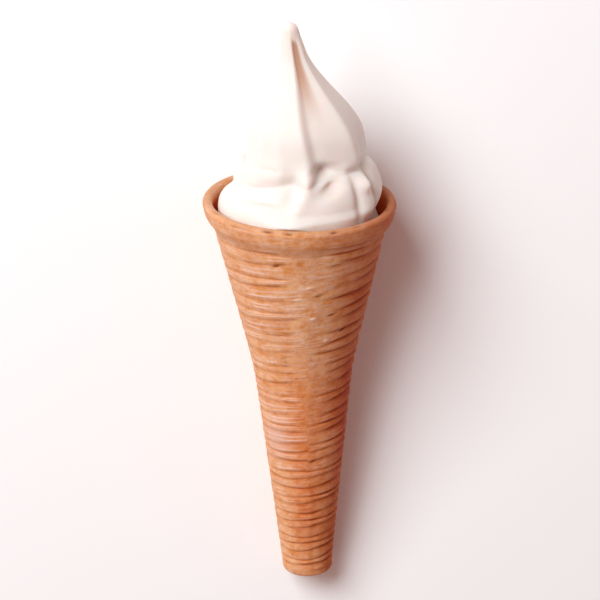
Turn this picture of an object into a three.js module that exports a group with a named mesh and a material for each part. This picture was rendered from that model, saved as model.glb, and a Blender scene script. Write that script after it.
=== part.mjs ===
// Soft serve in a rolled, ribbed biscuit cone, lying on its side.
//
// Both pieces are worked out in the cone's own frame: z runs along the axis from the foot to
// the cream's tip, -y is the front and +x is to the right. A direction round the axis is a
// turn: 0 at the front, growing towards +x. A height is measured from the foot for the cone,
// and from just below the rim for the cream. The finished pair is laid down on its back, front up.

import * as THREE from "three";

// Driving dimensions. Lengths are in millimetres and angles in degrees.
const CONE_LENGTH = 137.6; // foot to rim, along the axis
const RIM_SLANT = 1; // the rim is this much higher on the left, and lower on the right
const SLANT_START = 105; // height from which the wall starts to follow the rim's slant
const FOOT_RADIUS = 8.53;
const FOOT_TAPER = 0.109; // radius gained per millimetre below the bend
const MOUTH_TAPER = 0.237; // and above it
const BEND_HEIGHT = 78.6;
const BEND_SOFTNESS = 4;
const WALL = 3; // baked wafer, two layers where it overlaps
const FOOT_FLOOR = 7; // solid biscuit closing the foot
const FOOT_ROUND = 1.6;
const FOOT_ROUND_ANGLES = [30, 60, 90]; // the foot's rounded edge, from the bottom to the wall
const LIP_BAND = 10.5; // height of the plain band that flares out under the rim
const LIP_SHOULDER = 4.5; // the flare is complete this far below the rim
const LIP_FLARE = 1.6;
const LIP_INNER_FLARE = 1.5;

// Ribs baked into the wafer: closer together near the foot.
const RIB_COUNT = 35;
const FIRST_RIB_HEIGHT = 2.6;
const FOOT_PITCH = 2.85;
const PITCH_GROWTH = 0.0135; // pitch gained per millimetre of height
const RIB_CLIMB_SIDE = [0.85, 2.15]; // climb towards the right, at the foot and at the mouth
const RIB_CLIMB_FRONT = [-0.85, 1.35]; // climb towards the front, likewise
const RIB_DEPTH = 0.66;
const RIB_FRONT_SHARE = [0.36, 0.2]; // of the depth that is left at the shallow front, likewise
const RIB_FRONT_TURN = -58; // middle and half width of the shallow front
const RIB_FRONT_HALF = 70;
const RIB_CREST_PHASE = 0.28; // share of a pitch from groove up to crest
const RIB_UNEVEN_DEPTH = 0.24;
const RIB_DEPTH_WAVES = [2, 3]; // waves round the cone of a rib's uneven depth
const RIB_DEPTH_SHIFTS = [1.9, -0.7]; // and the radians that each moves on from rib to rib
const RIB_UNEVEN_PITCH = 0.17;
const RIB_PITCH_SHIFT = 2.3; // radians from rib to rib of the uneven pitch
const RIB_WAVER = 0.28; // each rib wavers up and down on its way round
const RIB_WAVER_WAVES = 3;
const RIB_WAVER_SHIFT = 2.1; // radians from rib to rib of the wavering
const RIB_RUN_IN = 1; // the ribs begin this far below the first groove
const RIB_FOOT_FADE = 2; // heights over which the ribs level out near the foot and the lip
const RIB_LIP_FADE = 2.5;
const CLIMB_LIP_FADE = 9; // and over which they come level below the lip

// Seam: the wafer's free edge, pressed down over its start at the front.
const SEAM_TURN = 6;
const SEAM_WIDTH = 2;
const SEAM_STEP = 0.3;
const SEAM_SLOPE = 12; // degrees right of the seam over which the step slopes down
const SEAM_RIB_JUMP = 0.45; // share of a pitch by which the ribs miss each other there
const SEAM_JUMP_HEIGHTS = [30, 75]; // below the first they meet, above the second they miss
const SEAM_WANDER = 5;
const SEAM_WAVES = 2.6;

// Cream below the rim fills the cone; the lowest coil stands free of the lip's inside.
const CREAM_LEVEL = 136.3; // the cream's heights are measured from here, just below the rim
const CREAM_GAP = 0.3;
const COIL_RADIUS = 26.9;
const COIL_CORE_RADIUS = 19;
const COIL_LEVEL = 1;
const COIL_START_TURN = -120; // the coil starts here, low inside the rim
const COIL_START_TOP = 5.5; // top of the coil where it starts
const COIL_RISE = 9.5; // how much higher it climbs
const COIL_CLIMB = 210; // degrees over which it climbs
const COIL_SINK = 270; // degrees after which it sinks away behind its own start
const COIL_FULLNESS = 0.8; // 0.5 gives an ellipse, and more makes the coil slope in earlier

// Upper turn of the coil: it lies on the first, all round but for a gap at the front.
const UPPER_RADIUS = 22.5;
const UPPER_CORE_RADIUS = 16;
const UPPER_LEVEL = 8;
const UPPER_TOP = 16;
const UPPER_GAP_TURN = -15;
const UPPER_GAP_HALF = 62;

// Cream that was pressed out over the rim at the front.
const SPILLS = [
  { turn: -8, half: 16, out: 3.4 },
  { turn: 30, half: 26, out: 1.2 },
];
const SPILL_HEIGHTS = [2, 5]; // it is full up to the first height, and gone at the second

// Peak drawn up from the coil.
const TIP_HEIGHT = 61.7;
const TIP_RADIUS = 2.3; // the tip has a rounded end of this radius and length
const TIP_LENGTH = 2.2;
const PEAK_FOOT_HEIGHT = 16;
const PEAK_TAPER = 0.195; // radius gained per millimetre down from the tip
const PEAK_SHOULDER = 9.4; // radius that the shoulder adds below the slim top
const SHOULDER_START = 0.22; // share of the peak's height, counted down from the tip
const SHOULDER_END = 0.82;
const PEAK_EDGE = 4.5; // height over which the peak's foot rounds in
const PEAK_UNDERCUT = 0.09;
const PEAK_EDGE_WANDER = 0.9;
const PEAK_EDGE_TURN = 60; // degrees that its two waves round the peak are moved on
const NOSE_TURN = 1; // nose of the left fold
const NOSE_DROP = 5; // the peak's edge hangs this much lower there
const NOSE_HALF = 10;
const SWAY = 2.6; // sideways lean of the peak's middle
const SWAY_LENGTH = 45;
const TIP_CAP = 2.5; // no folds this near the tip
const TIP_SMOOTH = 7.5; // and they are at their full depth this far below it
const MERGE_SOFTNESS = 1.1;
const MELTED_TURN = -65; // here the peak runs down into the coil without an edge
const MELTED_HALF = 50;
const MELTED_SOFTNESS = 1.6;

// The peak's section is a star with flat faces. Each corner has a turn, and a reach as a share
// of the plain radius, at the peak's foot and at its tip.
const CORNERS = [
  { turn: [4, 0], reach: [1, 1.02] }, // right edge of the left fold
  { turn: [11, 9], reach: [0.895, 0.8] }, // floor of the valley at the front
  { turn: [26, 22], reach: [0.9, 0.81] },
  { turn: [55, 53], reach: [1.06, 1.05] }, // sharp ridge of the right fold
  { turn: [72, 78], reach: [0.93, 0.96] }, // hollow right side
  { turn: [100, 104], reach: [1, 1] },
  { turn: [124, 128], reach: [0.85, 0.87] }, // three valleys behind
  { turn: [150, 152], reach: [1, 1] },
  { turn: [178, 178], reach: [0.86, 0.87] },
  { turn: [205, 204], reach: [1, 1] },
  { turn: [232, 230], reach: [0.85, 0.87] },
  { turn: [258, 258], reach: [1, 1] },
  { turn: [285, 285], reach: [0.99, 1] }, // broad left fold
  { turn: [310, 314], reach: [0.985, 0.96] },
  { turn: [335, 337], reach: [1.01, 1] },
];
const FOLD_BOW = -9; // halfway up the peak the whole star is turned this much
const CORNER_ROUNDING = [-4, -2, 0, 2, 4]; // degrees over which a corner is averaged
const CORNER_WEIGHTS = [1, 2, 3, 2, 1];

// Single dents and bumps: turn and height of the middle, half width and half height, how far
// the middle line climbs per degree, and how far it stands out (negative for a dent).
const MARKS = [
  { turn: 0, height: 13.2, half: 8, tall: 4, climb: 0, out: 2.4 }, // nose of the left fold
  { turn: 16, height: 16.8, half: 10, tall: 1.9, climb: 0, out: -2.6 }, // pocket over the coil
  { turn: 23, height: 11.7, half: 9, tall: 1.6, climb: 0.1, out: -2.8 }, // pocket under it
  { turn: 42, height: 16, half: 9, tall: 2.2, climb: 0, out: 1.3 }, // the right fold's lower end
  { turn: -13, height: 9.6, half: 6, tall: 3.6, climb: 0, out: -1.2 }, // hollow by the nose
  { turn: -34, height: 14, half: 18, tall: 3, climb: 0.03, out: 0.9 }, // the left fold's foot
  { turn: -40, height: 16.8, half: 14, tall: 0.8, climb: 0.02, out: -0.3 }, // creases there
  { turn: -48, height: 10.2, half: 16, tall: 0.9, climb: 0.02, out: -0.6 }, // and in the coil
  { turn: -34, height: 6.4, half: 18, tall: 0.9, climb: 0.02, out: -0.9 },
  { turn: 44, height: 6.5, half: 3.6, tall: 6, climb: 0, out: -1.5 }, // upright fold at the right
  { turn: -6, height: 6.5, half: 7, tall: 3.2, climb: 0, out: 0.8 }, // swelling at the front
  { turn: 54, height: 11.2, half: 5.5, tall: 2.6, climb: 0, out: 2.4 }, // small nub at the right
  { turn: 55, height: 4, half: 7, tall: 3.5, climb: 0, out: 1 }, // bulge below it
  { turn: 65, height: 9, half: 4, tall: 6, climb: 0, out: -1.9 }, // upright fold beside them
  { turn: 84, height: 14, half: 14, tall: 2.6, climb: 0, out: 1 }, // end of the upper turn
  { turn: 92, height: -2, half: 34, tall: 4.5, climb: 0, out: -2.3 }, // clear of the lip there
  { turn: 118, height: 8, half: 20, tall: 1.1, climb: -0.04, out: -0.9 }, // creases behind
  { turn: 178, height: 9, half: 24, tall: 1.2, climb: 0.05, out: -1 },
  { turn: -105, height: 17.3, half: 18, tall: 2.4, climb: 0, out: 2 }, // two lobes at the left
  { turn: -106, height: 9, half: 16, tall: 3.5, climb: 0, out: 2.3 },
  { turn: -84, height: 14, half: 5, tall: 6, climb: 0, out: -1.2 }, // edge of the left fold
];

// Lying down: the lip and the foot each rest on a small flat of this depth.
const FLAT_DEPTH = 0.45;
const LIP_CONTACT = 3; // distance of the lip's flat below the rim
const FOOT_CONTACT = 4; // distance of the foot's flat above the foot

const BISCUIT = { color: 0xcf8a55, roughness: 0.75 };
const CREAM = { color: 0xf6eee6, roughness: 0.55 };

// Fineness of the two meshes.
const CONE_COLUMNS = 40;
const CREAM_COLUMNS = 60;
const FRONT_CROWDING = 20; // degrees by which the cream's columns lean towards the front
const CREAM_ROWS = 36;
const TIP_ROW_CROWDING = 0.12;
const CROWN_STEPS = 4;
const LIP_ROWS = [5.6, 4.4, 3];
const INNER_HEIGHTS = [41, 67, 78.6, 90, 108, 127.1, 130.1, 133.1];
const RIM_ROWS = [-0.2, 1, 1.8]; // heights of the cream's rows beside the crown of the lip

const TAU = 2 * Math.PI;
const HALF_TURN = 180;
const FULL_TURN = 360;
const { degToRad, lerp, clamp, smoothstep } = THREE.MathUtils;

// The shortest way from one turn to another, from -180 to 180 degrees.
function turnBetween(from, to) {
  return ((((to - from + HALF_TURN) % FULL_TURN) + FULL_TURN) % FULL_TURN) - HALF_TURN;
}

function bell(distance, half) {
  return Math.exp(-((distance / half) ** 2));
}

function place(radius, turn, z, sideways = 0) {
  const angle = degToRad(turn);
  const x = sideways + radius * Math.sin(angle);
  return new THREE.Vector3(x, -radius * Math.cos(angle), z);
}

// Plain wall of the cone: a slow taper from the foot and a steeper one above a soft bend.
function wallRadius(z) {
  const above = BEND_SOFTNESS * Math.log1p(Math.exp((z - BEND_HEIGHT) / BEND_SOFTNESS));
  return FOOT_RADIUS + FOOT_TAPER * z + (MOUTH_TAPER - FOOT_TAPER) * above;
}

// How much higher the rim is at a turn than on average.
function rimSlant(turn) {
  return -RIM_SLANT * Math.sin(degToRad(turn));
}

// Share of the lip's flare that is reached at a height: 0 under the band, 1 near the rim.
function lipShare(z, turn) {
  const level = z - rimSlant(turn);
  return smoothstep(level, CONE_LENGTH - LIP_BAND, CONE_LENGTH - LIP_SHOULDER);
}

function outerRadius(z, turn) {
  return wallRadius(z) + LIP_FLARE * lipShare(z, turn);
}

function innerRadius(z, turn) {
  return wallRadius(z) + LIP_INNER_FLARE * lipShare(z, turn) - WALL;
}

// What is level at the foot follows the rim's slant near the lip.
function slanted(level, turn) {
  return level + rimSlant(turn) * smoothstep(level, SLANT_START, CONE_LENGTH - LIP_BAND);
}

// Height of a rib line at the front of an evenly tapering wafer. The pitch grows in proportion
// to height, so the heights grow exponentially with the rib's number.
function ribHeight(ribNumber) {
  const offset = FOOT_PITCH / PITCH_GROWTH;
  return (FIRST_RIB_HEIGHT + offset) * Math.exp(PITCH_GROWTH * ribNumber) - offset;
}

const LAST_RIB_HEIGHT = ribHeight(RIB_COUNT);

// 1 along the ribbed stretch, falling to 0 where the ribs run out at the foot and the lip.
function ribShare(z, lipFade = RIB_LIP_FADE) {
  const fromFoot = smoothstep(
    z,
    FIRST_RIB_HEIGHT - RIB_RUN_IN,
    FIRST_RIB_HEIGHT + RIB_FOOT_FADE,
  );
  return fromFoot * (1 - smoothstep(z, LAST_RIB_HEIGHT - lipFade, LAST_RIB_HEIGHT));
}

// The rolled wafer's ribs lie in planes that are tipped towards the front and the right.
function ribClimb(turn, z) {
  const share = z / CONE_LENGTH;
  const angle = degToRad(turn);
  const side = lerp(...RIB_CLIMB_SIDE, share) * Math.sin(angle);
  const front = lerp(...RIB_CLIMB_FRONT, share) * Math.cos(angle);
  return side + front;
}

// How far round the roll a place is: 0 just right of the seam, 1 just left of it.
function rollShare(turn) {
  const past = turnBetween(SEAM_TURN, turn);
  return (past < 0 ? past + FULL_TURN : past) / FULL_TURN;
}

// The wall grows evenly round the roll up to its free edge, and slopes down beyond it.
function seamRelief(share) {
  return SEAM_STEP * (share - smoothstep(share * FULL_TURN, 0, SEAM_SLOPE));
}

// The ribs drift on round the roll, so that they miss each other at the seam.
function seamDrift(share, level) {
  const pitch = FOOT_PITCH + PITCH_GROWTH * level;
  return SEAM_RIB_JUMP * pitch * (share - 0.5) * smoothstep(level, ...SEAM_JUMP_HEIGHTS);
}

// Depth of a rib varies round the cone and from rib to rib, in two sets of waves, and it is
// least at the front.
function ribDepth(turn, ribNumber, z) {
  const waves = RIB_DEPTH_WAVES.map((count, index) =>
    Math.sin(count * degToRad(turn) + RIB_DEPTH_SHIFTS[index] * ribNumber),
  );
  const front = bell(turnBetween(RIB_FRONT_TURN, turn), RIB_FRONT_HALF);
  const frontShare = 1 - (1 - lerp(...RIB_FRONT_SHARE, z / CONE_LENGTH)) * front;
  return RIB_DEPTH * frontShare * (1 + RIB_UNEVEN_DEPTH * (waves[0] + waves[1]));
}

function ribWaver(turn, ribNumber) {
  return RIB_WAVER * Math.sin(RIB_WAVER_WAVES * degToRad(turn) + RIB_WAVER_SHIFT * ribNumber);
}

// The seam's edge wanders from side to side on its way up.
function seamShift(z) {
  const wave = Math.sin((TAU * SEAM_WAVES * z) / CONE_LENGTH);
  return -SEAM_WANDER * wave * wave * ribShare(z);
}

// Turn of a column at a height. Columns 0 and 1 are the seam's two edges, and their neighbours
// follow its wandering less and less, up to a quarter turn away.
function columnTurn(column, z) {
  const even = (column * FULL_TURN) / CONE_COLUMNS;
  const isRight = column >= 1 && column <= CONE_COLUMNS / 2;
  const edgeColumn = isRight ? 1 : 0;
  const edge = SEAM_TURN + (isRight ? SEAM_WIDTH / 2 : -SEAM_WIDTH / 2) + seamShift(z);
  const edgeEven = (edgeColumn * FULL_TURN) / CONE_COLUMNS;
  const away = Math.abs(turnBetween(edgeEven, even));
  return even + (edge - edgeEven) * (1 - smoothstep(away, 0, HALF_TURN / 2));
}

// One row of the outer wall. It follows a rib line, and `rise` is its share of the rib's depth.
function ribRow(ribNumber, rise) {
  const uneven = RIB_UNEVEN_PITCH * Math.sin(RIB_PITCH_SHIFT * Math.floor(ribNumber));
  const level = ribHeight(ribNumber + uneven);
  const row = [];
  for (let column = 0; column < CONE_COLUMNS; column += 1) {
    const share = column === 0 ? 1 : rollShare(columnTurn(column, 0));
    const drift = seamDrift(share, level);
    const turn = columnTurn(column, level + drift);
    const moved = drift + ribWaver(turn, Math.floor(ribNumber)) + ribClimb(turn, level);
    const z = slanted(level, turn) + moved * ribShare(level, CLIMB_LIP_FADE);
    const depth = ribDepth(turn, Math.floor(ribNumber), z);
    const relief = seamRelief(share) + (rise - 1) * depth;
    row.push(place(outerRadius(z, turn) + relief * ribShare(z), turn, z));
  }
  return row;
}

// A plain row of the cone, whose radius is a function of its height and turn.
function plainRow(level, radiusAt) {
  return Array.from({ length: CONE_COLUMNS }, (_, column) => {
    const turn = columnTurn(column, level);
    const z = slanted(level, turn);
    return place(radiusAt(z, turn), turn, z);
  });
}

// Rounded edge round the foot, from the flat bottom up to the wall.
function footRows() {
  const rows = [plainRow(0, (z, turn) => outerRadius(z, turn) - FOOT_ROUND)];
  for (const angle of FOOT_ROUND_ANGLES.map(degToRad)) {
    const inwards = FOOT_ROUND * (1 - Math.sin(angle));
    const level = FOOT_ROUND * (1 - Math.cos(angle));
    rows.push(plainRow(level, (z, turn) => outerRadius(z, turn) - inwards));
  }
  return rows;
}

function ribbedRows() {
  const rows = [];
  for (let rib = 0; rib < RIB_COUNT; rib += 1) {
    rows.push(ribRow(rib, 0), ribRow(rib + RIB_CREST_PHASE, 1));
  }
  return rows;
}

// Plain band that flares out to the lip, and the round crown over to the inside.
function lipRows() {
  const rows = LIP_ROWS.map((below) => plainRow(CONE_LENGTH - below, outerRadius));
  const base = CONE_LENGTH - WALL / 2;
  for (let step = 0; step <= CROWN_STEPS; step += 1) {
    const angle = (Math.PI * step) / CROWN_STEPS;
    const across = (1 - Math.cos(angle)) / 2;
    const raised = (WALL / 2) * Math.sin(angle);
    const radiusAt = (z, turn) =>
      lerp(outerRadius(z - raised, turn), innerRadius(z - raised, turn), across);
    rows.push(plainRow(base + raised, radiusAt));
  }
  return rows;
}

function innerRows() {
  return [FOOT_FLOOR, ...INNER_HEIGHTS].reverse().map((level) => plainRow(level, innerRadius));
}

// Closed surface from rows of equal length, with a point at each end. Rows that go up have
// their outside away from the axis, and rows that go down have it towards the axis.
function closedSurface(firstPoint, rows, lastPoint) {
  const columns = rows[0].length;
  const points = [firstPoint, ...rows.flat(), lastPoint];
  const at = (row, column) => 1 + row * columns + (column % columns);
  const faces = [];
  for (let column = 0; column < columns; column += 1) {
    faces.push(0, at(0, column + 1), at(0, column));
    for (let row = 0; row + 1 < rows.length; row += 1) {
      const low = [at(row, column), at(row, column + 1)];
      const high = [at(row + 1, column), at(row + 1, column + 1)];
      faces.push(low[0], low[1], high[1], low[0], high[1], high[0]);
    }
    faces.push(at(rows.length - 1, column), at(rows.length - 1, column + 1), points.length - 1);
  }
  const geometry = new THREE.BufferGeometry().setFromPoints(points);
  geometry.setIndex(faces);
  return geometry;
}

// The floor in the cone's own frame, parallel to the line from the foot's contact to the lip's.
function backPoint(z) {
  return place(outerRadius(z, HALF_TURN), HALF_TURN, z);
}

const lipContact = backPoint(CONE_LENGTH - LIP_CONTACT);
const footContact = backPoint(FOOT_CONTACT);
const layAngle = Math.atan2(lipContact.y - footContact.y, lipContact.z - footContact.z);
const floorUp = new THREE.Vector3(0, -Math.cos(layAngle), Math.sin(layAngle));
const floorPlane = new THREE.Plane(floorUp, -floorUp.dot(lipContact) - FLAT_DEPTH);

// Points that would sink below the floor are set on it, which makes the two small flats.
function setOnFloor(point) {
  const height = floorPlane.distanceToPoint(point);
  return height < 0 ? point.addScaledVector(floorUp, -height) : point;
}

function coneGeometry() {
  const rows = [...footRows(), ...ribbedRows(), ...lipRows(), ...innerRows()];
  rows.flat().forEach(setOnFloor);
  return closedSurface(place(0, 0, 0), rows, place(0, 0, FOOT_FLOOR));
}

// Top of the coil: it climbs round the cone by a quarter wave, and sinks away behind its start.
function coilTop(turn) {
  const past = (turn - COIL_START_TURN + FULL_TURN) % FULL_TURN;
  const climbed = Math.sin((Math.PI / 2) * Math.min(1, past / COIL_CLIMB));
  return COIL_START_TOP + COIL_RISE * (climbed - smoothstep(past, COIL_SINK, FULL_TURN));
}

// A turn of the coil is a rounded shoulder in section: upright at its level, and level at its
// top. Above the top it falls away inwards. `present` is less than 1 where the turn has a gap.
function shoulderRadius(height, level, top, core, full, present) {
  const share = Math.max(0, (height - level) / (top - level));
  const inside = Math.max(0, 1 - share * share) ** COIL_FULLNESS;
  return core + (full - core) * (present * inside - 2 * Math.max(0, share - 1));
}

function coilRadius(turn, height) {
  return shoulderRadius(height, COIL_LEVEL, coilTop(turn), COIL_CORE_RADIUS, COIL_RADIUS, 1);
}

function upperRadius(turn, height) {
  const present = 1 - bell(turnBetween(UPPER_GAP_TURN, turn), UPPER_GAP_HALF);
  return shoulderRadius(
    height,
    UPPER_LEVEL,
    UPPER_TOP,
    UPPER_CORE_RADIUS,
    UPPER_RADIUS,
    present,
  );
}

// The peak's radius before its folds: a rounded end, a taper and a shoulder.
function plainPeakRadius(height) {
  const below = TIP_HEIGHT - height;
  const end = Math.sqrt(1 - Math.max(0, 1 - below / TIP_LENGTH) ** 2);
  const depth = below / (TIP_HEIGHT - PEAK_FOOT_HEIGHT);
  const shoulder = PEAK_SHOULDER * smoothstep(depth, SHOULDER_START, SHOULDER_END);
  return TIP_RADIUS * end + PEAK_TAPER * below + shoulder;
}

// Height of the peak's lower edge, which wanders and hangs lowest at the front.
function peakEdge(turn) {
  const wander = PEAK_EDGE_WANDER * Math.sin(degToRad(2 * turn + PEAK_EDGE_TURN));
  const drop = NOSE_DROP * bell(turnBetween(NOSE_TURN, turn), NOSE_HALF);
  return PEAK_FOOT_HEIGHT - PEAK_EDGE_WANDER + wander - drop;
}

// Reach of the star's outline at a turn: the straight line between the corners on either side.
function starReach(turn, up) {
  const bow = FOLD_BOW * Math.sin(Math.PI * up);
  const corners = CORNERS.map((corner) => ({
    turn: lerp(...corner.turn, up) + bow,
    reach: lerp(...corner.reach, up),
  }));
  const index = corners.findIndex((corner, here) => {
    const next = corners[(here + 1) % corners.length];
    return turnBetween(corner.turn, turn) >= 0 && turnBetween(turn, next.turn) > 0;
  });
  const from = corners[index];
  const to = corners[(index + 1) % corners.length];
  const past = degToRad(turnBetween(from.turn, turn));
  const left = degToRad(turnBetween(turn, to.turn));
  const across = from.reach * Math.sin(past) + to.reach * Math.sin(left);
  return (from.reach * to.reach * Math.sin(past + left)) / across;
}

// The star with its corners rounded by averaging, and with no folds at the very tip.
function foldFactor(turn, height) {
  const up = clamp((height - PEAK_FOOT_HEIGHT) / (TIP_HEIGHT - PEAK_FOOT_HEIGHT), 0, 1);
  const fade = smoothstep(TIP_HEIGHT - height, TIP_CAP, TIP_SMOOTH);
  let sum = 0;
  let weights = 0;
  CORNER_ROUNDING.forEach((aside, index) => {
    sum += CORNER_WEIGHTS[index] * starReach(turn + aside, up);
    weights += CORNER_WEIGHTS[index];
  });
  return lerp(1, sum / weights, fade);
}

function meltedShare(turn) {
  return bell(turnBetween(MELTED_TURN, turn), MELTED_HALF);
}

function peakRadius(turn, height) {
  const below = Math.max(0, 1 - (height - peakEdge(turn)) / PEAK_EDGE);
  const undercut = PEAK_UNDERCUT * (1 - meltedShare(turn)) * below * below;
  return plainPeakRadius(height) * foldFactor(turn, height) * (1 - undercut);
}

function markRelief(turn, height) {
  let relief = 0;
  for (const mark of MARKS) {
    const away = turnBetween(mark.turn, turn);
    const above = height - mark.height - mark.climb * away;
    relief += mark.out * bell(away, mark.half) * bell(above, mark.tall);
  }
  return relief;
}

function softMax(a, b, softness) {
  return (a + b + Math.sqrt((a - b) ** 2 + softness ** 2)) / 2;
}

function spillRelief(turn, height) {
  const full = 1 - smoothstep(height, ...SPILL_HEIGHTS);
  return SPILLS.reduce((sum, spill) => {
    return sum + spill.out * full * bell(turnBetween(spill.turn, turn), spill.half);
  }, 0);
}

// What the cone leaves free: its inside, and above that the inner half of its round crown.
function roomRadius(turn, height) {
  const z = CREAM_LEVEL + height;
  const reach = WALL / 2 + CREAM_GAP;
  const above = Math.max(0, z - (CONE_LENGTH - WALL / 2) - rimSlant(turn));
  if (above >= reach) return Infinity;
  return innerRadius(z, turn) - CREAM_GAP + reach - Math.sqrt(reach ** 2 - above ** 2);
}

// Radius of the cream at a height: the largest of coil, upper turn and peak, with the marks.
function creamRadius(turn, height) {
  const fullSoftness = MERGE_SOFTNESS + MELTED_SOFTNESS * meltedShare(turn);
  const softness = fullSoftness * clamp((TIP_HEIGHT - height) / TIP_SMOOTH, 0, 1);
  const coil = softMax(coilRadius(turn, height), upperRadius(turn, height), softness);
  const radius = softMax(coil, peakRadius(turn, height), softness);
  const shaped = radius + markRelief(turn, height) + spillRelief(turn, height);
  return Math.min(shaped, roomRadius(turn, height));
}

// Sideways place of the cream's middle: it bows to the right and its tip leans to the left.
function creamSway(height) {
  return SWAY * Math.sin((Math.PI * Math.max(0, height)) / SWAY_LENGTH);
}

// Turns of the cream's columns, closer together at the front, where most of its folds are.
function creamTurn(column) {
  const even = (column * FULL_TURN) / CREAM_COLUMNS;
  return even - FRONT_CROWDING * Math.sin(degToRad(even));
}

function creamRow(height) {
  const row = [];
  for (let column = 0; column < CREAM_COLUMNS; column += 1) {
    const turn = creamTurn(column);
    const z = CREAM_LEVEL + height;
    row.push(place(creamRadius(turn, height), turn, z, creamSway(height)));
  }
  return row;
}

// Heights of the cream's rows: inside the cone, beside its crown, and free up to the tip.
function creamHeights() {
  const heights = [FOOT_FLOOR + CREAM_GAP, ...INNER_HEIGHTS].map((z) => z - CREAM_LEVEL);
  heights.push(...RIM_ROWS);
  const lowest = RIM_ROWS.at(-1);
  for (let row = CREAM_ROWS - 1; row > 0; row -= 1) {
    const share = row / CREAM_ROWS;
    const crowded = (share ** 2 * (1 + TIP_ROW_CROWDING)) / (share + TIP_ROW_CROWDING);
    heights.push(lerp(TIP_HEIGHT, lowest, crowded));
  }
  return heights;
}

function creamGeometry() {
  const rows = creamHeights().map(creamRow);
  const tip = place(0, 0, CREAM_LEVEL + TIP_HEIGHT, creamSway(TIP_HEIGHT));
  return closedSurface(place(0, 0, FOOT_FLOOR + CREAM_GAP), rows, tip);
}

function namedMesh(name, geometry, finish) {
  geometry.computeVertexNormals();
  const material = new THREE.MeshStandardMaterial({ ...finish, metalness: 0 });
  const mesh = new THREE.Mesh(geometry, material);
  mesh.name = name;
  return mesh;
}

const cone = namedMesh("cone", coneGeometry(), BISCUIT);
const softServe = namedMesh("soft_serve", creamGeometry(), CREAM);

// Laid down: the axis points along +y, tipped up so that lip and foot touch the floor.
const laid = new THREE.Group();
laid.add(cone, softServe);
laid.rotation.x = layAngle - Math.PI / 2;

// The origin is the middle of the base of the pair's box.
const box = new THREE.Box3().setFromObject(laid, true);
const middle = box.getCenter(new THREE.Vector3());
laid.position.set(-middle.x, -middle.y, -box.min.z);

const softServeCone = new THREE.Group();
softServeCone.add(laid);
export default softServeCone;
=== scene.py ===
# %% [markdown]
# # Soft serve in a rolled biscuit cone
#
# The object has two pieces: a wafer cone, rolled from a ribbed biscuit while it was still hot,
# and the soft serve that was pressed into it and drawn up to a peak. It lies on its back, because
# a cone can't stand by itself.
#
# Both pieces could be sculpted by hand, or turned from a profile and then displaced. Here each is
# one surface of two numbers, a turn round the axis and a place along it, worked out with numpy.
# That keeps every fold and rib at the size and place that the solid model gives it, and lets the
# same numbers drive both the shape and the colour.

import bpy
import numpy as np
from mathutils import Matrix, Vector


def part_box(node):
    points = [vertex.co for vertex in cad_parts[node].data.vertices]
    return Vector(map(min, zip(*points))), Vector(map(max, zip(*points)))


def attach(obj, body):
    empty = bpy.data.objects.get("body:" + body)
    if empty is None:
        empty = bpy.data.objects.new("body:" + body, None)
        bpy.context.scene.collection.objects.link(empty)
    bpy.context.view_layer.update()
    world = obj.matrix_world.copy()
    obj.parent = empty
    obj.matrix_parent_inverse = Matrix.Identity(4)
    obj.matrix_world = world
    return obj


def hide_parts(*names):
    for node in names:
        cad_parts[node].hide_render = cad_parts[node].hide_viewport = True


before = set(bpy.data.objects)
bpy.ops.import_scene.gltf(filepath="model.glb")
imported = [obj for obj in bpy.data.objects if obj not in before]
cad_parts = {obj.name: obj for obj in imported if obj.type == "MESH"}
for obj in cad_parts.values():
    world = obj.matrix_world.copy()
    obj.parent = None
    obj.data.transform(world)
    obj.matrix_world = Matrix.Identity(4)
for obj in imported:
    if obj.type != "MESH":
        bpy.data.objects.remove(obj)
scene = bpy.context.scene
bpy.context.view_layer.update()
MILLIMETRE = 0.001

# %% [markdown]
# ## Counting round and along
#
# A turn is a direction round the cone's axis, in degrees. It is 0 at the front, which is the side
# that faces up once the cone lies down, and it grows towards +x. A height is a distance along the
# axis: from the foot for the cone, and from just below the rim for the cream. Shapes are laid
# over each other with two kinds of curve, a bell for what stands alone and a smooth step for what
# changes over.

# %% Small curves that the shapes are made of
HALF_TURN = 180.0
FULL_TURN = 360.0


def turn_between(start, end):
    """The shortest way from one turn to another, from -180 to 180 degrees."""
    return (end - start + HALF_TURN) % FULL_TURN - HALF_TURN


def bell(distance, half):
    """1 in the middle, falling off as e to the power of minus (distance / half) squared."""
    return np.exp(-((distance / half) ** 2))


def smooth_step(value, low, high):
    """0 up to low, 1 from high, and between them 3 s^2 - 2 s^3 of the share s of the way."""
    share = np.clip((value - low) / (high - low), 0.0, 1.0)
    return share * share * (3.0 - 2.0 * share)


def between(ends, share):
    """A share of the way from the first of two values to the second."""
    return ends[0] + (ends[1] - ends[0]) * share


def place(radius, turn, height, sideways=0.0):
    """A point from its radius, turn and height, with the axis moved sideways."""
    angle = np.radians(turn)
    x = sideways + radius * np.sin(angle)
    return np.stack(np.broadcast_arrays(x, -radius * np.cos(angle), height), axis=-1)


# %% [markdown]
# ## The plain cone
#
# A rolled cone tapers slowly at its foot and faster near its mouth. The change is a soft bend:
# the extra taper is added through a softened ramp. Near the rim the wafer was pressed outwards
# over the mould's edge, which gives the plain, thick band of the lip. The roll was never quite
# straight in the mould, so the rim stands a little higher on the left.

# %% Radius of the plain wall, outside and inside
CONE_LENGTH = 137.6
RIM_SLANT = 1.0
SLANT_START = 105.0
FOOT_RADIUS = 8.53
FOOT_TAPER = 0.109
MOUTH_TAPER = 0.237
BEND_HEIGHT = 78.6
BEND_SOFTNESS = 4.0
WALL = 3.0
FOOT_FLOOR = 7.0
LIP_BAND = 10.5
LIP_SHOULDER = 4.5
LIP_FLARE = 1.6
LIP_INNER_FLARE = 1.5


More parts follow.
